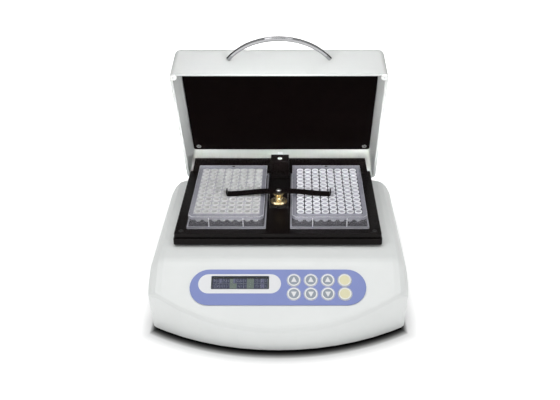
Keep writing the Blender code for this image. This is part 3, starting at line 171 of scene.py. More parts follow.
NOTCH_HALF = 0.0017
NOTCH_INSIDE = 0.0015
NOTCH_OUTSIDE = 0.0004
NOTCH_CORNER = 0.0006
NOTCH_LEVELS = ((0.0, 0.0013), (0.0, 0.0003), (0.0003, 0.0001))

# Places on the closed lid, measured from the hinge's axis where the name says so
LID_OPEN = math.radians(65.5)
PANEL_FACE_Z = 0.1213
PANEL_REAR_BEHIND_HINGE = 0.0076
PANEL_FRONT_BEHIND_HINGE = 0.1739
PANEL_SCREW_X = 0.1065
PANEL_SCREW_INSET = 0.0065
BUMPER_X = 0.1153
BUMPER_BEHIND_HINGE = 0.1758
BUMPER_FACE_Z = 0.0804
REAR_WALL_BEHIND_HINGE = 0.0031
CATCH_LOW = (-0.0052, 0.1155)
CATCH_HIGH = (0.0012, 0.1200)
CATCH_LEVELS = ((0.0, 0.0), (0.0012, 0.0), (0.0016, 0.0004))
CATCH_CORNER = 0.0008

# Screws: each head's radius and height, and in shares of them its profile and its cross recess
PLATFORM_SCREW = (0.0026, 0.0006)
TOWER_SCREW = (0.0027, 0.0010)
PANEL_SCREW = (0.0030, 0.0009)
BUMPER_SCREW = (0.0021, 0.0001)
SCREW_PROFILE = ((1.0, 0.0), (1.0, 0.4), (0.8, 0.85), (0.45, 1.0))
CROSS_LONG = 0.55
CROSS_THIN = 0.12
CROSS_LEVELS = (0.7, 1.02)
PLATFORM_SCREW_INSET = (0.007, 0.006)
TOWER_SCREW_INSET = 0.0120

# Studio: grey levels by height of direction, from straight down at 0 to straight up at 1
WORLD_FRONT = ((0.0, 0.70), (0.48, 0.25), (0.62, 0.35), (0.80, 0.90), (1.0, 0.70))
WORLD_BACK = ((0.0, 0.70), (0.48, 0.50), (0.58, 0.14), (0.80, 0.16), (0.95, 0.60))
WORLD_BLEND = (-0.35, 0.25)
WORLD_STRENGTH = 0.55

# Lights: name, place, aim, width, height, watts and spread in degrees
LIGHTS = (
    ("top_light", (0.0, 0.05, 2.0), (0.0, 0.02, 0.1), 1.6, 1.3, 17.0, 180),
    ("left_front_light", (-0.75, -0.75, 1.15), (0.0, 0.03, 0.12), 0.7, 0.7, 4.18, 180),
    ("right_front_light", (0.75, -0.75, 1.15), (0.0, 0.03, 0.12), 0.7, 0.7, 3.42, 180),
    ("left_wall_light", (0.25, -0.45, 0.30), (-0.115, 0.10, 0.18), 0.08, 0.05, 0.10, 30),
    ("right_wall_light", (-0.25, -0.45, 0.30), (0.115, 0.10, 0.18), 0.08, 0.05, 0.10, 30),
    ("strip_light", (0.0, -0.30, 0.46), (0.0, 0.118, 0.122), 0.30, 0.02, 0.048, 12),
    ("inside_light", (0.0, -0.45, 0.30), (0.0, 0.115, 0.130), 0.32, 0.04, 0.05, 16),
)

# The table: how far outside the housing's foot it starts to glow, so that it stays darker nearer the foot as
# painted shade, and how dark the painted shadow under the foot is
FLOOR_HALF = 15.0
GLOW_BESIDE = (0.0, 0.020)
GLOW_AHEAD = (0.006, 0.030)
GLOW_LEVELS = (0.40, 0.80)
GLOW_REACH = 0.40
PAINTED_SHADOW_BESIDE = (-0.004, 0.003)
PAINTED_SHADOW_AHEAD = (-0.002, 0.0090)
PAINTED_SHADOW_TONES = ((0.0, 0.0), (0.40, 0.12), (0.75, 0.50), (1.0, 0.9))
FOOT_UNDERCUT = 0.0125
FOOT_BOW_RADIUS = 0.2503
FOOT_HALF_WIDTH = 0.1365
FOOT_DEPTH = 0.261

# Finishes: the band of a noise that is stretched to the full range, and the height of its grain
NOISE_BAND = (0.3, 0.7)
GRAIN_DEPTH = 0.0001
WHITE = (1.0, 1.0, 1.0, 1.0)


# Node helpers

def link(tree, source, output, target, socket):
    tree.links.new(source.outputs[output], target.inputs[socket])


def grey_ramp(tree, stops):
    ramp = tree.nodes.new("ShaderNodeValToRGB")
    elements = ramp.color_ramp.elements
    while len(elements) < len(stops):
        elements.new(0.5)
    for element, (position, level) in zip(elements, stops):
        element.position = position
        element.color = (level, level, level, 1.0)
    return ramp


def map_range(tree, low, high, to_low=0.0, to_high=1.0):
    node = tree.nodes.new("ShaderNodeMapRange")
    for socket, value in (("From Min", low), ("From Max", high), ("To Min", to_low), ("To Max", to_high)):
        node.inputs[socket].default_value = value
    return node


def operate(tree, operation, first, second=None, output=0):
    """A math node on a node's output and, where it takes two, a number or another node's first output."""
    node = tree.nodes.new("ShaderNodeMath")
    node.operation = operation
    link(tree, first, output, node, 0)
    if isinstance(second, float):
        node.inputs[1].default_value = second
    elif second is not None:
        link(tree, second, 0, node, 1)
    return node


def noise(tree, place, scale, detail):
    node = tree.nodes.new("ShaderNodeTexNoise")
    node.inputs["Scale"].default_value = scale
    node.inputs["Detail"].default_value = detail
    link(tree, place, "Object", node, "Vector")
    return node


# Materials

def surface(
    name,
    light,
    dark,
    roughness,
    metallic=0.0,
    patch=40.0,
    grain=900.0,
    bump=0.1,
    alpha=1.0,
    specular=0.5,
    painted_glow=0.0,
):
    """A finish whose colour drifts in patches and whose grain moves both roughness and bump."""
    material = bpy.data.materials.new(name)
    material.use_nodes = True
    tree = material.node_tree
    shader = tree.nodes["Principled BSDF"]
    # The emission strength gives the surface a painted glow, light that no lamp casts.
    for socket, value in (
        ("Metallic", metallic),
        ("Alpha", alpha),
        ("Specular IOR Level", specular),
        ("Emission Color", WHITE),
        ("Emission Strength", painted_glow),
    ):
        shader.inputs[socket].default_value = value
    place = tree.nodes.new("ShaderNodeTexCoord")
    patches = noise(tree, place, patch, 4.0)
    ramp = tree.nodes.new("ShaderNodeValToRGB")
    shade = dark or tuple(channel * 0.95 for channel in light)
    for element, position, colour in zip(ramp.color_ramp.elements, NOISE_BAND, (shade, light)):
        element.position = position
        element.color = (*colour, 1.0)
    link(tree, patches, "Fac", ramp, "Fac")
    link(tree, ramp, "Color", shader, "Base Color")
    grains = noise(tree, place, grain, 2.0)
    gloss = map_range(tree, *NOISE_BAND, *roughness)
    link(tree, grains, "Fac", gloss, "Value")
    link(tree, gloss, "Result", shader, "Roughness")
    relief = tree.nodes.new("ShaderNodeBump")
    relief.inputs["Strength"].default_value = bump
    relief.inputs["Distance"].default_value = GRAIN_DEPTH
    link(tree, grains, "Fac", relief, "Height")
    link(tree, relief, "Normal", shader, "Normal")
    return material


def metal(name, light, dark, roughness, patch, grain, bump):
    return surface(name, light, dark, roughness, 1.0, patch, grain, bump)


def plate_plastic(name, light, dark, roughness, alpha, painted_glow=0.0):
    """Moulded clear plastic, with a little painted glow that stands in for the light it carries along inside."""
    return surface(name, light, dark, roughness, 0.0, 150, 1500, 0.03, alpha=alpha, painted_glow=painted_glow)


def make_finishes():
    """A finish for each material slot of the record, and two for nodes that have their own."""
    return {
        "painted_housing": surface(
            "housing_paint", (0.79, 0.81, 0.80), (0.77, 0.79, 0.78), (0.38, 0.48), grain=1400, bump=0.12
        ),
        # The lid's paint is the housing's paint made darker: painted shade for the light the lid gets.
        "shaded_lid_paint": surface(
            "shaded_lid_paint", (0.585, 0.60, 0.59), (0.57, 0.585, 0.575), (0.38, 0.48), grain=1400, bump=0.12
        ),
        "bumper": surface(
            "bumper_rubber", (0.74, 0.75, 0.74), (0.70, 0.71, 0.70), (0.5, 0.6), grain=1500, bump=0.2
        ),
        "bright_steel": metal("bright_steel", (0.62, 0.61, 0.59), None, (0.22, 0.34), 60, 2200, 0.15),
        "zinc_sheet": metal(
            "zinc_sheet", (0.50, 0.51, 0.52), (0.40, 0.41, 0.43), (0.30, 0.50), 120, 500, 0.1
        ),
        "turned_alloy": metal("turned_alloy", (0.68, 0.69, 0.70), None, (0.24, 0.36), 80, 1800, 0.1),
        "carrier_alloy": metal("carrier_alloy", (0.55, 0.56, 0.57), None, (0.32, 0.44), 80, 1500, 0.1),
        "chrome": metal("chrome", (0.48, 0.48, 0.49), (0.44, 0.44, 0.455), (0.05, 0.10), 30, 600, 0.02),
        "brass": surface(
            "brass", (0.80, 0.67, 0.40), (0.66, 0.52, 0.28), (0.16, 0.26), 0.90, 200, 1800, 0.05
        ),
        "black_rubber": surface(
            "black_rubber", (0.030, 0.030, 0.030), (0.018, 0.018, 0.018), (0.65, 0.85), grain=1500, bump=0.3
        ),
        "black_anodised": surface(
            "black_anodised",
            (0.006, 0.004, 0.004),
            (0.004, 0.003, 0.003),
            (0.24, 0.34),
            patch=50,
            grain=1600,
            bump=0.08,
            specular=0.15,
        ),
        "black_panel": surface(
            "black_panel",
            (0.0025, 0.0012, 0.0012),
            (0.0015, 0.0007, 0.0007),
            (0.55, 0.70),
            patch=90,
            grain=700,
            bump=0.35,
            specular=0.03,
        ),
        "insulation_foam": surface(
            "insulation_foam", (0.60, 0.60, 0.56), None, (0.8, 0.95), grain=1800, bump=0.6
        ),
        "heater_mat": surface("heater_mat", (0.42, 0.14, 0.04), (0.32, 0.10, 0.03), (0.5, 0.65), bump=0.3),
        "blue_overlay": surface(
            "blue_overlay", (0.185, 0.235, 0.53), (0.175, 0.225, 0.51), (0.30, 0.38), 0.0, 60, 2600, 0.12
        ),
        "display_window": surface(
            "display_window", (0.20, 0.24, 0.24), None, (0.03, 0.06), 0.0, 40, 400, 0.0, alpha=0.04, specular=0.15
        ),
        "display_module": surface(
            "display_glass",
            (0.19, 0.235, 0.205),
            (0.165, 0.205, 0.18),
            (0.45, 0.55),
            patch=70,
            grain=1800,
            bump=0.02,
            specular=0.1,
        ),
        "circuit_board": surface("circuit_board", (0.02, 0.17, 0.06), (0.015, 0.12, 0.04), (0.35, 0.5), bump=0.2),
        "grey_key": surface(
            "key_body", (0.86, 0.87, 0.88), (0.82, 0.83, 0.84), (0.32, 0.42), 0.0, 90, 2000, 0.1
        ),
        "yellow_key": surface(
            "yellow_key_body", (0.86, 0.87, 0.86), (0.82, 0.83, 0.82), (0.32, 0.42), 0.0, 90, 2000, 0.1
        ),
        "black_plastic": surface(
            "black_plastic", (0.022, 0.022, 0.023), (0.014, 0.014, 0.015), (0.32, 0.5), grain=1400, bump=0.25
        ),
        "clear_plastic": surface(
            "clear_plate", (0.74, 0.74, 0.78), (0.66, 0.66, 0.70), (0.10, 0.20), 0.0, 120, 1500, 0.05
        ),
    }


def make_paint():
    """Finishes for the pieces that are made here: print, the display, the plates and the screws."""
    return {
        "white_print": surface(
            "white_print", (0.77, 0.78, 0.79), (0.74, 0.75, 0.77), (0.3, 0.4), grain=2500, bump=0.05
        ),
        "grey_face": surface("grey_key_face", (0.27, 0.31, 0.36), (0.24, 0.28, 0.33), (0.35, 0.45), grain=2500),
        "yellow_face": surface("yellow_key_face", (0.72, 0.69, 0.45), (0.69, 0.66, 0.42), (0.35, 0.45), grain=2500),
        "yellow_ring": surface(
            "yellow_ring", (0.75, 0.74, 0.56), (0.72, 0.71, 0.52), (0.3, 0.4), grain=2500, bump=0.05
        ),
        "lcd_cell": surface(
            "lcd_cell", (0.16, 0.165, 0.26), (0.14, 0.145, 0.235), (0.4, 0.5), grain=2500, bump=0.0, specular=0.1
        ),
        "navy": surface(
            "display_ink", (0.012, 0.020, 0.065), (0.010, 0.016, 0.050), (0.3, 0.4), grain=2500, bump=0.0
        ),
        # The cups, and the right plate's rims, carry a faint painted glow that stands in for light scattered in the
        # plastic.
        "wells_left": plate_plastic(
            "well_plastic_filled", (0.59, 0.59, 0.58), (0.56, 0.56, 0.56), (0.20, 0.32), 0.92, 0.03
        ),
        "wells_right": plate_plastic(
            "well_plastic", (0.58, 0.58, 0.62), (0.50, 0.50, 0.55), (0.12, 0.22), 0.85, 0.04
        ),
        # The rims are the cups' clear plastic in a brighter, more opaque finish: a painted highlight round each
        # mouth.
        "rims_left": plate_plastic(
            "rim_highlight_plastic_filled", (0.74, 0.74, 0.74), (0.68, 0.68, 0.69), (0.20, 0.32), 0.80
        ),
        "rims_right": plate_plastic(
            "rim_highlight_plastic", (0.84, 0.84, 0.87), (0.79, 0.79, 0.83), (0.12, 0.22), 0.95, 0.05
        ),
        "deck_left": plate_plastic("plate_deck_hazy", (0.60, 0.60, 0.62), (0.54, 0.54, 0.57), (0.20, 0.30), 0.70),
        "deck_right": plate_plastic("plate_deck", (0.36, 0.36, 0.44), (0.30, 0.30, 0.38), (0.12, 0.22), 0.28),
        "plate_margin": plate_plastic("plate_margin", (0.48, 0.48, 0.54), (0.40, 0.40, 0.47), (0.12, 0.22), 0.52),
        "plate_wall": plate_plastic("plate_wall", (0.50, 0.50, 0.55), (0.44, 0.44, 0.50), (0.08, 0.16), 0.20),
        "plate_flange": plate_plastic("plate_flange", (0.62, 0.62, 0.68), (0.56, 0.56, 0.62), (0.10, 0.18), 0.45),
        # The plate's edges and ribs in a brighter, more opaque copy of the clear plastic: a painted highlight.
        "plate_edge_highlight": plate_plastic("plate_edge_highlight", (0.84, 0.84, 0.88), (0.78, 0.78, 0.82), (0.10, 0.18), 0.85),
        "screw": metal("screw_steel", (0.66, 0.66, 0.65), None, (0.18, 0.3), 200, 2500, 0.1),
        "black_screw": surface(
            "screw_black", (0.014, 0.013, 0.013), (0.010, 0.010, 0.010), (0.3, 0.4), 0.0, 200, 2500, 0.1
        ),
        "pale_screw": surface(
            "pale_screw", (0.92, 0.92, 0.91), (0.88, 0.88, 0.87), (0.3, 0.4), 0.0, 200, 2500, 0.1
        ),
        "bumper_screw": surface(
            "bumper_screw", (0.30, 0.31, 0.31), (0.24, 0.25, 0.25), (0.3, 0.4), 0.0, 200, 2500, 0.1
        ),
        "dark": surface("recess_shadow", (0.010, 0.010, 0.010), (0.006, 0.006, 0.006), (0.6, 0.8), grain=1500),
    }


# The lid takes the darker copy of the housing's paint, which is painted shade.
OWN_FINISH = {"lid_shell": "shaded_lid_paint", "lid_bumper_left": "bumper", "lid_bumper_right": "bumper"}


def dress_nodes(finishes):
    slots = {part["node"]: part["material_slot"] for part in frame["record"]["subparts"]}
    for name, node in NODES.items():
        finish = finishes[OWN_FINISH.get(name, slots[name])]
        if not node.material_slots:
            node.data.materials.append(finish)
        for slot in node.material_slots:
            slot.material = finish


# Mesh helpers

def piece(name, build, finish, body, smooth=30):
    """Makes an object of the mesh, with edges sharp above the angle smooth, and lets it ride on the body."""
    bmesh.ops.recalc_face_normals(build, faces=build.faces[:])
    mesh = bpy.data.meshes.new(name)
    build.to_mesh(mesh)
    build.free()
    mesh.shade_smooth()
    mesh.set_sharp_from_angle(angle=math.radians(smooth))
    thing = bpy.data.objects.new(name, mesh)
    thing.data.materials.append(finish)
    bpy.context.scene.collection.objects.link(thing)
    if body:
        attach(thing, body)
    return thing


def circle(radius, z, centre=(0.0, 0.0), count=24):
    points = []
    for step in range(count):
        angle = 2 * math.pi * step / count
        points.append(Vector((centre[0] + radius * math.cos(angle), centre[1] + radius * math.sin(angle), z)))
    return points


def stack(build, rings, capped=True):
    """Adds a skin through rings of equal length, with a face on its first and last ring."""
    rows = [[build.verts.new(point) for point in ring] for ring in rings]
    count = len(rows[0])
    for low, high in zip(rows, rows[1:]):
        for i in range(count):
            j = (i + 1) % count
            build.faces.new((low[i], low[j], high[j], high[i]))
    if capped:
        build.faces.new(rows[0])
        build.faces.new(rows[-1])
    return build


def add_skin(build, rings):
    return stack(build, rings, capped=False)


def turned(profile, centre=(0.0, 0.0), count=24):
    return stack(bmesh.new(), [circle(radius, z, centre, count) for radius, z in profile])


def add_block(build, low, high):
    corners = ((low[0], low[1]), (high[0], low[1]), (high[0], high[1]), (low[0], high[1]))
    return stack(build, [[Vector((x, y, z)) for x, y in corners] for z in (low[2], high[2])])


def rounded_ring(low, high, radius, z, steps=6):
    corners = (
        (high[0] - radius, high[1] - radius, 0),
        (low[0] + radius, high[1] - radius, 90),
        (low[0] + radius, low[1] + radius, 180),
        (high[0] - radius, low[1] + radius, 270),
    )
    ring = []
    for x, y, start in corners:
        for step in range(steps + 1):
            angle = math.radians(start + 90 * step / steps)
            ring.append(Vector((x + radius * math.cos(angle), y + radius * math.sin(angle), z)))
    return ring


def panel_matrix():
    """X across, Y up the slope and Z out of the sloped panel, from its break line."""
    place = Vector((0, BASE_LOW.y + PANEL_BREAK_BACK, DECK_HEIGHT))
    return Matrix.Translation(place) @ Matrix.Rotation(PANEL_SLOPE, 4, "X")


def lid_matrix():
    """Takes a point of the closed lid to where it lies with the lid open."""
    axis = Vector(JOINTS["lid_hinge"]["pos_m"])
    return Matrix.Translation(axis) @ Matrix.Rotation(-LID_OPEN, 4, "X") @ Matrix.Translation(-axis)


# Camera, light and floor

def make_camera():
    data = bpy.data.cameras.new("camera")
    data.lens = CAMERA_LENS
    data.sensor_width = 36.0
    data.shift_x = CAMERA_SHIFT
    data.clip_start = 0.01
    camera = bpy.data.objects.new("camera", data)
    camera.location = (CAMERA_X, BASE_LOW.y - CAMERA_AHEAD, CAMERA_HEIGHT)
    camera.rotation_euler = (math.pi / 2 - CAMERA_DOWN, 0, 0)
    bpy.context.scene.collection.objects.link(camera)
    bpy.context.scene.camera = camera


def make_world():
    """A white tent with a dark band low behind the object, which keeps black surfaces black."""
    world = bpy.data.worlds.new("studio")
    world.use_nodes = True
    tree = world.node_tree
    background = tree.nodes["Background"]
    place = tree.nodes.new("ShaderNodeTexCoord")
    axes = tree.nodes.new("ShaderNodeSeparateXYZ")
    link(tree, place, "Generated", axes, "Vector")
    height = map_range(tree, -1.0, 1.0)
    link(tree, axes, "Z", height, "Value")
    behind = map_range(tree, *WORLD_BLEND)
    link(tree, axes, "Y", behind, "Value")
    blend = tree.nodes.new("ShaderNodeMixRGB")
    link(tree, behind, "Result", blend, "Fac")
    for socket, stops in (("Color1", WORLD_FRONT), ("Color2", WORLD_BACK)):
        ramp = grey_ramp(tree, stops)
        link(tree, height, "Result", ramp, "Fac")
        link(tree, ramp, "Color", blend, socket)
    link(tree, blend, "Color", background, "Color")
    background.inputs["Strength"].default_value = WORLD_STRENGTH
    bpy.context.scene.world = world


def make_lights():
    """Large soft lights above and in front, and four narrow ones that reach into the open lid."""
    for name, place, aim, width, height, power, spread in LIGHTS:
        data = bpy.data.lights.new(name, "AREA")
        data.shape = "RECTANGLE"
        data.size = width
        data.size_y = height
        data.energy = power
        data.spread = math.radians(spread)
        light = bpy.data.objects.new(name, data)
        light.location = place
        light.rotation_euler = (Vector(aim) - Vector(place)).to_track_quat("-Z", "Y").to_euler()
        light.visible_camera = False
        bpy.context.scene.collection.objects.link(light)


def distances_from_foot(tree):
    """How far a point of the table lies outside the housing's foot: beside it, behind it and in front."""
    place = tree.nodes.new("ShaderNodeTexCoord")
    axes = tree.nodes.new("ShaderNodeSeparateXYZ")
    link(tree, place, "Object", axes, "Vector")
    across = operate(tree, "ABSOLUTE", axes, output="X")
    beside = operate(tree, "SUBTRACT", across, FOOT_HALF_WIDTH)
    behind = operate(tree, "SUBTRACT", axes, BASE_LOW.y + FOOT_DEPTH, "Y")
    centre = tree.nodes.new("ShaderNodeVectorMath")
    centre.operation = "DISTANCE"
    link(tree, place, "Object", centre, 0)
    centre.inputs[1].default_value = (0.0, BASE_LOW.y + FOOT_UNDERCUT + FOOT_BOW_RADIUS, 0.0)
    ahead = operate(tree, "SUBTRACT", centre, FOOT_BOW_RADIUS, "Value")
    return beside, behind, ahead


def make_floor():
    """White paper, with a painted shadow under the object's foot and a painted glow a little away from it, as on an
    overlit table.
    """
    build = bmesh.new()
    corners = ((-1, -1), (1, -1), (1, 1), (-1, 1))
    build.faces.new([build.verts.new((x * FLOOR_HALF, y * FLOOR_HALF, 0)) for x, y in corners])
    paper = surface("paper", (0.90, 0.90, 0.90), (0.89, 0.89, 0.89), (0.7, 0.8), grain=300, bump=0.0, specular=0.2)
    tree = paper.node_tree
    shader = tree.nodes["Principled BSDF"]
    beside, behind, ahead = distances_from_foot(tree)
    around = operate(tree, "MAXIMUM", beside, behind)

    def ramped(distance, *levels):
        ramp = map_range(tree, *levels)
        link(tree, distance, 0, ramp, "Value")
        return ramp

    # The paper glows to stay white as a backdrop. The glow fades out near the foot, which leaves painted shade
    # there.
    glow_ahead = ramped(ahead, *GLOW_AHEAD)
    glow_ahead.interpolation_type = "SMOOTHSTEP"
    painted_glow = operate(tree, "MAXIMUM", ramped(around, *GLOW_BESIDE), glow_ahead)
    painted_glow = operate(tree, "MULTIPLY", painted_glow, ramped(behind, 0.0, GLOW_REACH, *GLOW_LEVELS))
    link(tree, painted_glow, "Value", shader, "Emission Strength")
    # Painted shadow: the paper's colour goes dark close to the housing's foot, ahead of it and beside it.
    shade = operate(tree, "MAXIMUM", ramped(ahead, *PAINTED_SHADOW_AHEAD), ramped(around, *PAINTED_SHADOW_BESIDE))
    painted_shadow_tone = grey_ramp(tree, PAINTED_SHADOW_TONES)
    link(tree, shade, "Value", painted_shadow_tone, "Fac")
    link(tree, painted_shadow_tone, "Color", shader, "Base Color")
    piece("floor", build, paper, None)


# Keypad

def on_panel(build):
    build.transform(panel_matrix())
    return build


def make_overlay_print(paint):
    """The white field on the overlay, with a hole for the display's window."""
    half = PILL_HEIGHT / 2
    field = ((PILL_LEFT, -PILL_DOWN - half), (PILL_RIGHT, -PILL_DOWN + half), half * PILL_ROUND)
    window_half = WINDOW_HEIGHT / 2 + WINDOW_GAP
    hole = (
        (WINDOW_LEFT - WINDOW_GAP, -WINDOW_DOWN - window_half),
        (WINDOW_RIGHT + WINDOW_GAP, -WINDOW_DOWN + window_half),
        WINDOW_CORNER,
    )
    low = OVERLAY_TOP
    high = OVERLAY_TOP + PRINT_LIFT
    rings = [rounded_ring(*edge, z, 8) for edge, z in ((hole, low), (hole, high), (field, high), (field, low))]
    pill = on_panel(add_skin(bmesh.new(), rings))
    piece("overlay_white_field", pill, paint["white_print"], "base")


def add_digit(build, character, x, y, low, high):
    """One seven-bar digit, or a point, with its lower left corner at x, y."""
    line = DIGIT_LINE
    right = x + DIGIT_WIDTH
    middle = y + DIGIT_HEIGHT / 2
    top = y + DIGIT_HEIGHT
    bars = {
        "a": (x, top - line, right, top),
        "b": (right - line, middle, right, top),
        "c": (right - line, y, right, middle),
        "d": (x, y, right, y + line),
        "e": (x, y, x + line, middle),
        "f": (x, middle, x + line, top),
        "g": (x, middle - line / 2, right, middle + line / 2),
    }
    shapes = [bars[key] for key in SEGMENTS.get(character, "")]
    if character == ".":
        centre = x + DIGIT_WIDTH / 2
        shapes.append((centre - line / 2, y, centre + line / 2, y + line))
    for x0, y0, x1, y1 in shapes:
        add_block(build, (x0, y0, low), (x1, y1, high))


def make_display(paint):
    """Two rows of plain digits on the display's glass, the cells behind them, and a dark frame round them whose
    wide top is painted shadow.
    """
    digits = bmesh.new()
    cells = bmesh.new()
    low = OVERLAY_TOP - DISPLAY_DEPTH
    for text, down in DISPLAY_ROWS:
        y = -WINDOW_DOWN - down
        for index, character in enumerate(text):
            x = WINDOW_LEFT + DIGIT_INSET + index * DIGIT_PITCH
            add_digit(digits, character, x, y, *(low + level for level in DIGIT_LEVELS))
            if character != " ":
                left = x - CELL_BORDER
                far = (left + DIGIT_PITCH * CELL_SHARE, y + DIGIT_HEIGHT + CELL_BORDER, low + CELL_LEVEL)
                add_block(cells, (left, y - CELL_BORDER, low), far)
    for name, build, finish in (("display_digits", digits, "navy"), ("display_cells", cells, "lcd_cell")):
        piece(name, on_panel(build), paint[finish], "base")
    # The dark frame is partly a thin bezel and, along its wide top, painted shadow under the window's edge.
    bottom = -WINDOW_DOWN - WINDOW_HEIGHT / 2
    top = -WINDOW_DOWN + WINDOW_HEIGHT / 2
    outer, inner = (
        ((WINDOW_LEFT + left, bottom + under), (WINDOW_RIGHT - right, top - over), corner)
        for left, under, right, over, corner in (BEZEL_OUTER, BEZEL_INNER)
    )
    high = low + BEZEL_THICK
    rings = [rounded_ring(*edge, z) for edge, z in ((outer, low), (outer, high), (inner, high), (inner, low))]
    bezel = on_panel(add_skin(bmesh.new(), rings))
    piece("display_frame_and_shadow", bezel, paint["dark"], "base")


def make_key_faces(paint):
    """A dished face on each key, a ring round it on the overlay, and an arrow on the six grey ones."""
    for row, sign in (("top", 1), ("bottom", -1)):
        for column in range(KEY_COLUMNS):
            node = f"button_{row}_{column + 1}"
            x = KEY_FIRST_X + column * KEY_PITCH_X
            y = -KEY_TOP_DOWN - (0 if row == "top" else KEY_PITCH_DOWN)
            yellow = column == YELLOW_COLUMN
            high = KEY_TOP + PRINT_LIFT
            dish = high - FACE_DISH
            radius = KEY_RADIUS * (YELLOW_FACE_SHARE if yellow else GREY_FACE_SHARE)
            profile = (
                (radius, KEY_TOP - FACE_SINK),
                (radius, dish),
                (radius * FACE_CREST[0], high),
                (radius * FACE_CREST[1], high),
                (radius * FACE_BASIN, dish),
            )
            face = on_panel(turned(profile, (x, y), KEY_SIDES))
            piece(f"{node}_face", face, paint["yellow_face" if yellow else "grey_face"], node)
            low_ring = OVERLAY_TOP
            high_ring = OVERLAY_TOP + PRINT_LIFT
            section = (
                (KEY_RING_OUTER, low_ring),
                (KEY_RING_OUTER, high_ring),
                (KEY_RING_INNER, high_ring),
                (KEY_RING_INNER, low_ring),
            )
            ring = add_skin(bmesh.new(), [circle(reach, z, (x, y), KEY_SIDES) for reach, z in section])
            ring_finish = paint["yellow_ring" if yellow else "white_print"]
            piece(f"{node}_ring", on_panel(ring), ring_finish, "base")
            if yellow:
                continue
            outline = (
                (-ARROW_HALF_FOOT, -sign * ARROW_FOOT),
                (ARROW_HALF_FOOT, -sign * ARROW_FOOT),
                (ARROW_HALF_TIP, sign * ARROW_TIP),
                (-ARROW_HALF_TIP, sign * ARROW_TIP),
            )
            levels = (high - ARROW_SINK, high + PRINT_LIFT)
            arrow = stack(bmesh.new(), [[Vector((x + dx, y + dy, z)) for dx, dy in outline] for z in levels])
            piece(f"{node}_arrow", on_panel(arrow), paint["white_print"], node)


# Microplates

def plate_outline(grow, cut, z):
    """The plate's wall, moved out by grow, with its two front corners cut off."""
    half_x = WALL_X + grow
    half_y = WALL_Y + grow
    outline = (
        (half_x - cut, -half_y),
        (half_x, -half_y + cut),
        (half_x, half_y),
        (-half_x, half_y),
        (-half_x, -half_y + cut),
        (-half_x + cut, -half_y),
    )
    return [Vector((x, y, z)) for x, y in outline]


def add_plate_skin(build, *levels):
    return add_skin(build, [plate_outline(*level) for level in levels])


def plate_cups(deck):
    """The cups, the raised rims round their mouths, and the deck's square round each of them."""
    wells = bmesh.new()
    rims = bmesh.new()
    squares = bmesh.new()
    low, high = (deck + level for level in RIM_LEVELS)
    rim = ((RIM_OUTER, low), (RIM_OUTER, high), (RIM_INNER, high), (RIM_INNER, low), (RIM_OUTER, low))
    for column in range(WELLS_ACROSS):
        for row in range(WELLS_DEEP):
            x = WELL_PITCH * (column + 0.5 - WELLS_ACROSS / 2)
            y = WELL_PITCH * (row + 0.5 - WELLS_DEEP / 2)
            stack(wells, [circle(radius, deck - depth, (x, y), WELL_SIDES) for radius, depth in WELL_PROFILE])
            add_skin(rims, [circle(radius, z, (x, y), WELL_SIDES) for radius, z in rim])
            square = []
            for step in range(WELL_SIDES):
                angle = 2 * math.pi * step / WELL_SIDES
                reach = WELL_PITCH / 2 / max(abs(math.cos(angle)), abs(math.sin(angle)))
                square.append(Vector((x + reach * math.cos(angle), y + reach * math.sin(angle), deck)))
            add_skin(squares, [square, circle(WELL_MOUTH, deck, (x, y), WELL_SIDES)])
    return wells, rims, squares


def plate_margin(deck, top):
    """The deck's hazy border outside the wells, and the edge that stands up round it."""
    margin = bmesh.new()
    half_x = WELLS_ACROSS * WELL_PITCH / 2
    half_y = WELLS_DEEP * WELL_PITCH / 2
    corners = ((1, -1), (1, 1), (-1, 1), (-1, -1))
    field = [Vector((x * half_x, y * half_y, deck)) for x, y in corners]
    border = [Vector((x * (WALL_X - WALL_CUT), y * (WALL_Y - WALL_CUT), deck)) for x, y in corners]
    add_skin(margin, [field, border])
    add_plate_skin(margin, (-WALL_CUT, BORDER_CUT, deck), (0.0, WALL_CUT, deck))
    add_plate_skin(
        margin,
        (0.0, WALL_CUT, deck),
        (0.0, WALL_CUT, top),
        (WALL_THICK, WALL_CUT, top),
        (WALL_THICK, WALL_CUT, deck - LIP_BELOW_DECK),
    )
    return margin


def plate_skirt(deck, foot):
    """The wall under the lip, which steps out just above the flange's level."""
    skirt = bmesh.new()
    lip, above, step, low = SKIRT_OUT
    add_plate_skin(
        skirt,
        (lip, WALL_CUT, deck - LIP_BELOW_DECK),
        (above, WALL_CUT, foot + SKIRT_STEP_TOP),
        (step, FLANGE_CUT, foot + SKIRT_STEP),
    )
    add_plate_skin(skirt, (step, FLANGE_CUT, foot + SKIRT_STEP), (low, FLANGE_CUT, foot + FLANGE_TOP))
    return skirt


def plate_flange(foot):
    return add_plate_skin(
        bmesh.new(),
        (SKIRT_OUT[-1], FLANGE_CUT, foot + FLANGE_TOP),
        (FLANGE_WIDTH, FLANGE_CUT, foot + FLANGE_BROW),
        (FLANGE_WIDTH, FLANGE_CUT, foot + FLANGE_SOLE),
        (FLANGE_SOLE_OUT, FLANGE_CUT, foot + FLANGE_SOLE),
    )


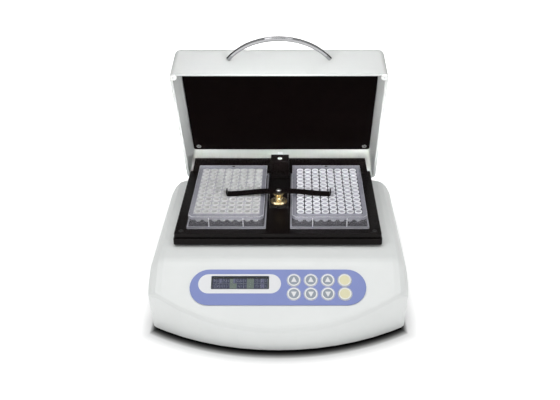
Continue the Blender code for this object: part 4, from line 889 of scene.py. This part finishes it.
def plate_edges(deck, top, foot):
    """Two ribs at each end, and the edges of the top and of the flange, bright with a painted highlight."""
    edges = bmesh.new()
    for x in (-RIB_X, RIB_X):
        for sign in (-1, 1):
            near, far = sorted(sign * (WALL_Y + out) for out in RIB_OUT)
            add_block(edges, (x - RIB_HALF, near, foot + FLANGE_BROW), (x + RIB_HALF, far, deck - RIB_BELOW_DECK))
    for grow, cut, z, thick in (
        (WALL_THICK, WALL_CUT, top, TOP_EDGE_THICK),
        (FLANGE_WIDTH, FLANGE_CUT, foot + FLANGE_EDGE, FLANGE_EDGE_THICK),
    ):
        section = ((0, 0), (0, -thick), (-thick, -thick), (-thick, 0), (0, 0))
        add_plate_skin(edges, *((grow + out, cut, z + up) for out, up in section))
    return edges


def plate_notch(high):
    """The small dark mark in the middle of the plate's rear edge."""
    rings = []
    for shrink, below in NOTCH_LEVELS:
        near = (-NOTCH_HALF + shrink, WALL_Y - NOTCH_INSIDE + shrink)
        far = (NOTCH_HALF - shrink, WALL_Y + NOTCH_OUTSIDE - shrink)
        rings.append(rounded_ring(near, far, NOTCH_CORNER, high - below, 3))
    return stack(bmesh.new(), rings)


def make_plate(side, paint):
    """A clear plate: cups in a see-through deck, a hazy margin, a thin skirt with ribs, and a flange."""
    node = f"microplate_{side}"
    low, high = (Vector(corner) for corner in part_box(node))
    deck = high.z - DECK_BELOW_TOP
    top = high.z - EDGE_BELOW_TOP
    wells, rims, squares = plate_cups(deck)
    for name, build, finish in (
        ("notch", plate_notch(high.z), "dark"),
        ("wells", wells, f"wells_{side}"),
        ("rims", rims, f"rims_{side}"),
        ("deck", squares, f"deck_{side}"),
        ("margin", plate_margin(deck, top), "plate_margin"),
        ("skirt", plate_skirt(deck, low.z), "plate_wall"),
        ("flange", plate_flange(low.z), "plate_flange"),
        ("edges", plate_edges(deck, top, low.z), "plate_edge_highlight"),
    ):
        bmesh.ops.translate(build, verts=build.verts[:], vec=((low.x + high.x) / 2, (low.y + high.y) / 2, 0))
        thing = piece(f"{node}_{name}", build, paint[finish], "platform", 50)
        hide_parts(node)


# Screws and the lid's small block

def make_screw(name, matrix, size, finish, recess_shade_finish, body, slot):
    """A domed head, with a cross recess in it, drawn as a dark cross of painted shade, where the recess finish
    isn't None.
    """
    radius, height = size
    head = turned([(radius * out, height * up) for out, up in SCREW_PROFILE])
    head.transform(matrix)
    piece(name, head, finish, body)
    if recess_shade_finish:
        # The recess is a dark cross block on the head: painted shade in the recess.
        cross = bmesh.new()
        long = radius * CROSS_LONG
        thin = radius * CROSS_THIN
        low, high = (height * level for level in CROSS_LEVELS)
        for x, y in ((long, thin), (thin, long)):
            add_block(cross, (-x, -y, low), (x, y, high))
        cross.transform(matrix)
        piece(f"{name}_recess", cross, recess_shade_finish, body)


def make_screws(paint):
    low, high = (Vector(corner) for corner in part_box("platform_plate"))
    inset_x, inset_y = PLATFORM_SCREW_INSET
    for side, x in (("left", low.x + inset_x), ("right", high.x - inset_x)):
        place = Matrix.Translation((x, low.y + inset_y, high.z))
        finishes = (paint["black_screw"], paint["dark"])
        make_screw(f"platform_screw_{side}", place, PLATFORM_SCREW, *finishes, "platform", "black_anodised")
    low, high = (Vector(corner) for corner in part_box("centre_tower"))
    place = Matrix.Translation(((low.x + high.x) / 2, high.y - TOWER_SCREW_INSET, high.z))
    finishes = (paint["pale_screw"], paint["bumper_screw"])
    make_screw("tower_screw", place, TOWER_SCREW, *finishes, "platform", "black_anodised")
    hinge_y = JOINTS["lid_hinge"]["pos_m"][1]

    def under_lid(x, y, z):
        return lid_matrix() @ Matrix.Translation((x, y, z)) @ Matrix.Rotation(math.pi, 4, "X")

    rear = hinge_y - PANEL_REAR_BEHIND_HINGE - PANEL_SCREW_INSET
    front = hinge_y - PANEL_FRONT_BEHIND_HINGE + PANEL_SCREW_INSET
    for depth, y in (("rear", rear), ("front", front)):
        for side, x in (("left", -PANEL_SCREW_X), ("right", PANEL_SCREW_X)):
            place = under_lid(x, y, PANEL_FACE_Z)
            finishes = (paint["screw"], paint["dark"])
            make_screw(f"panel_screw_{depth}_{side}", place, PANEL_SCREW, *finishes, "lid", "bright_steel")
    for side, x in (("left", -BUMPER_X), ("right", BUMPER_X)):
        place = under_lid(x, hinge_y - BUMPER_BEHIND_HINGE, BUMPER_FACE_Z)
        make_screw(f"bumper_screw_{side}", place, BUMPER_SCREW, paint["bumper_screw"], None, "lid", "black_rubber")


def make_catch(paint):
    """The small white block on the lid's rear wall, just below the panel."""
    wall_y = JOINTS["lid_hinge"]["pos_m"][1] - REAR_WALL_BEHIND_HINGE
    rings = []
    for depth, shrink in CATCH_LEVELS:
        low = (CATCH_LOW[0] + shrink, CATCH_LOW[1] + shrink)
        high = (CATCH_HIGH[0] - shrink, CATCH_HIGH[1] - shrink)
        rings.append([Vector((p.x, wall_y - depth, p.y)) for p in rounded_ring(low, high, CATCH_CORNER, 0, 3)])
    build = stack(bmesh.new(), rings)
    build.transform(lid_matrix())
    piece("lid_catch", build, paint["white_print"], "lid")


def main():
    bpy.context.scene.view_settings.view_transform = "Standard"
    make_camera()
    make_world()
    make_lights()
    make_floor()
    dress_nodes(make_finishes())
    paint = make_paint()
    make_overlay_print(paint)
    make_display(paint)
    make_key_faces(paint)
    make_plate("left", paint)
    make_plate("right", paint)
    make_screws(paint)
    make_catch(paint)


main()
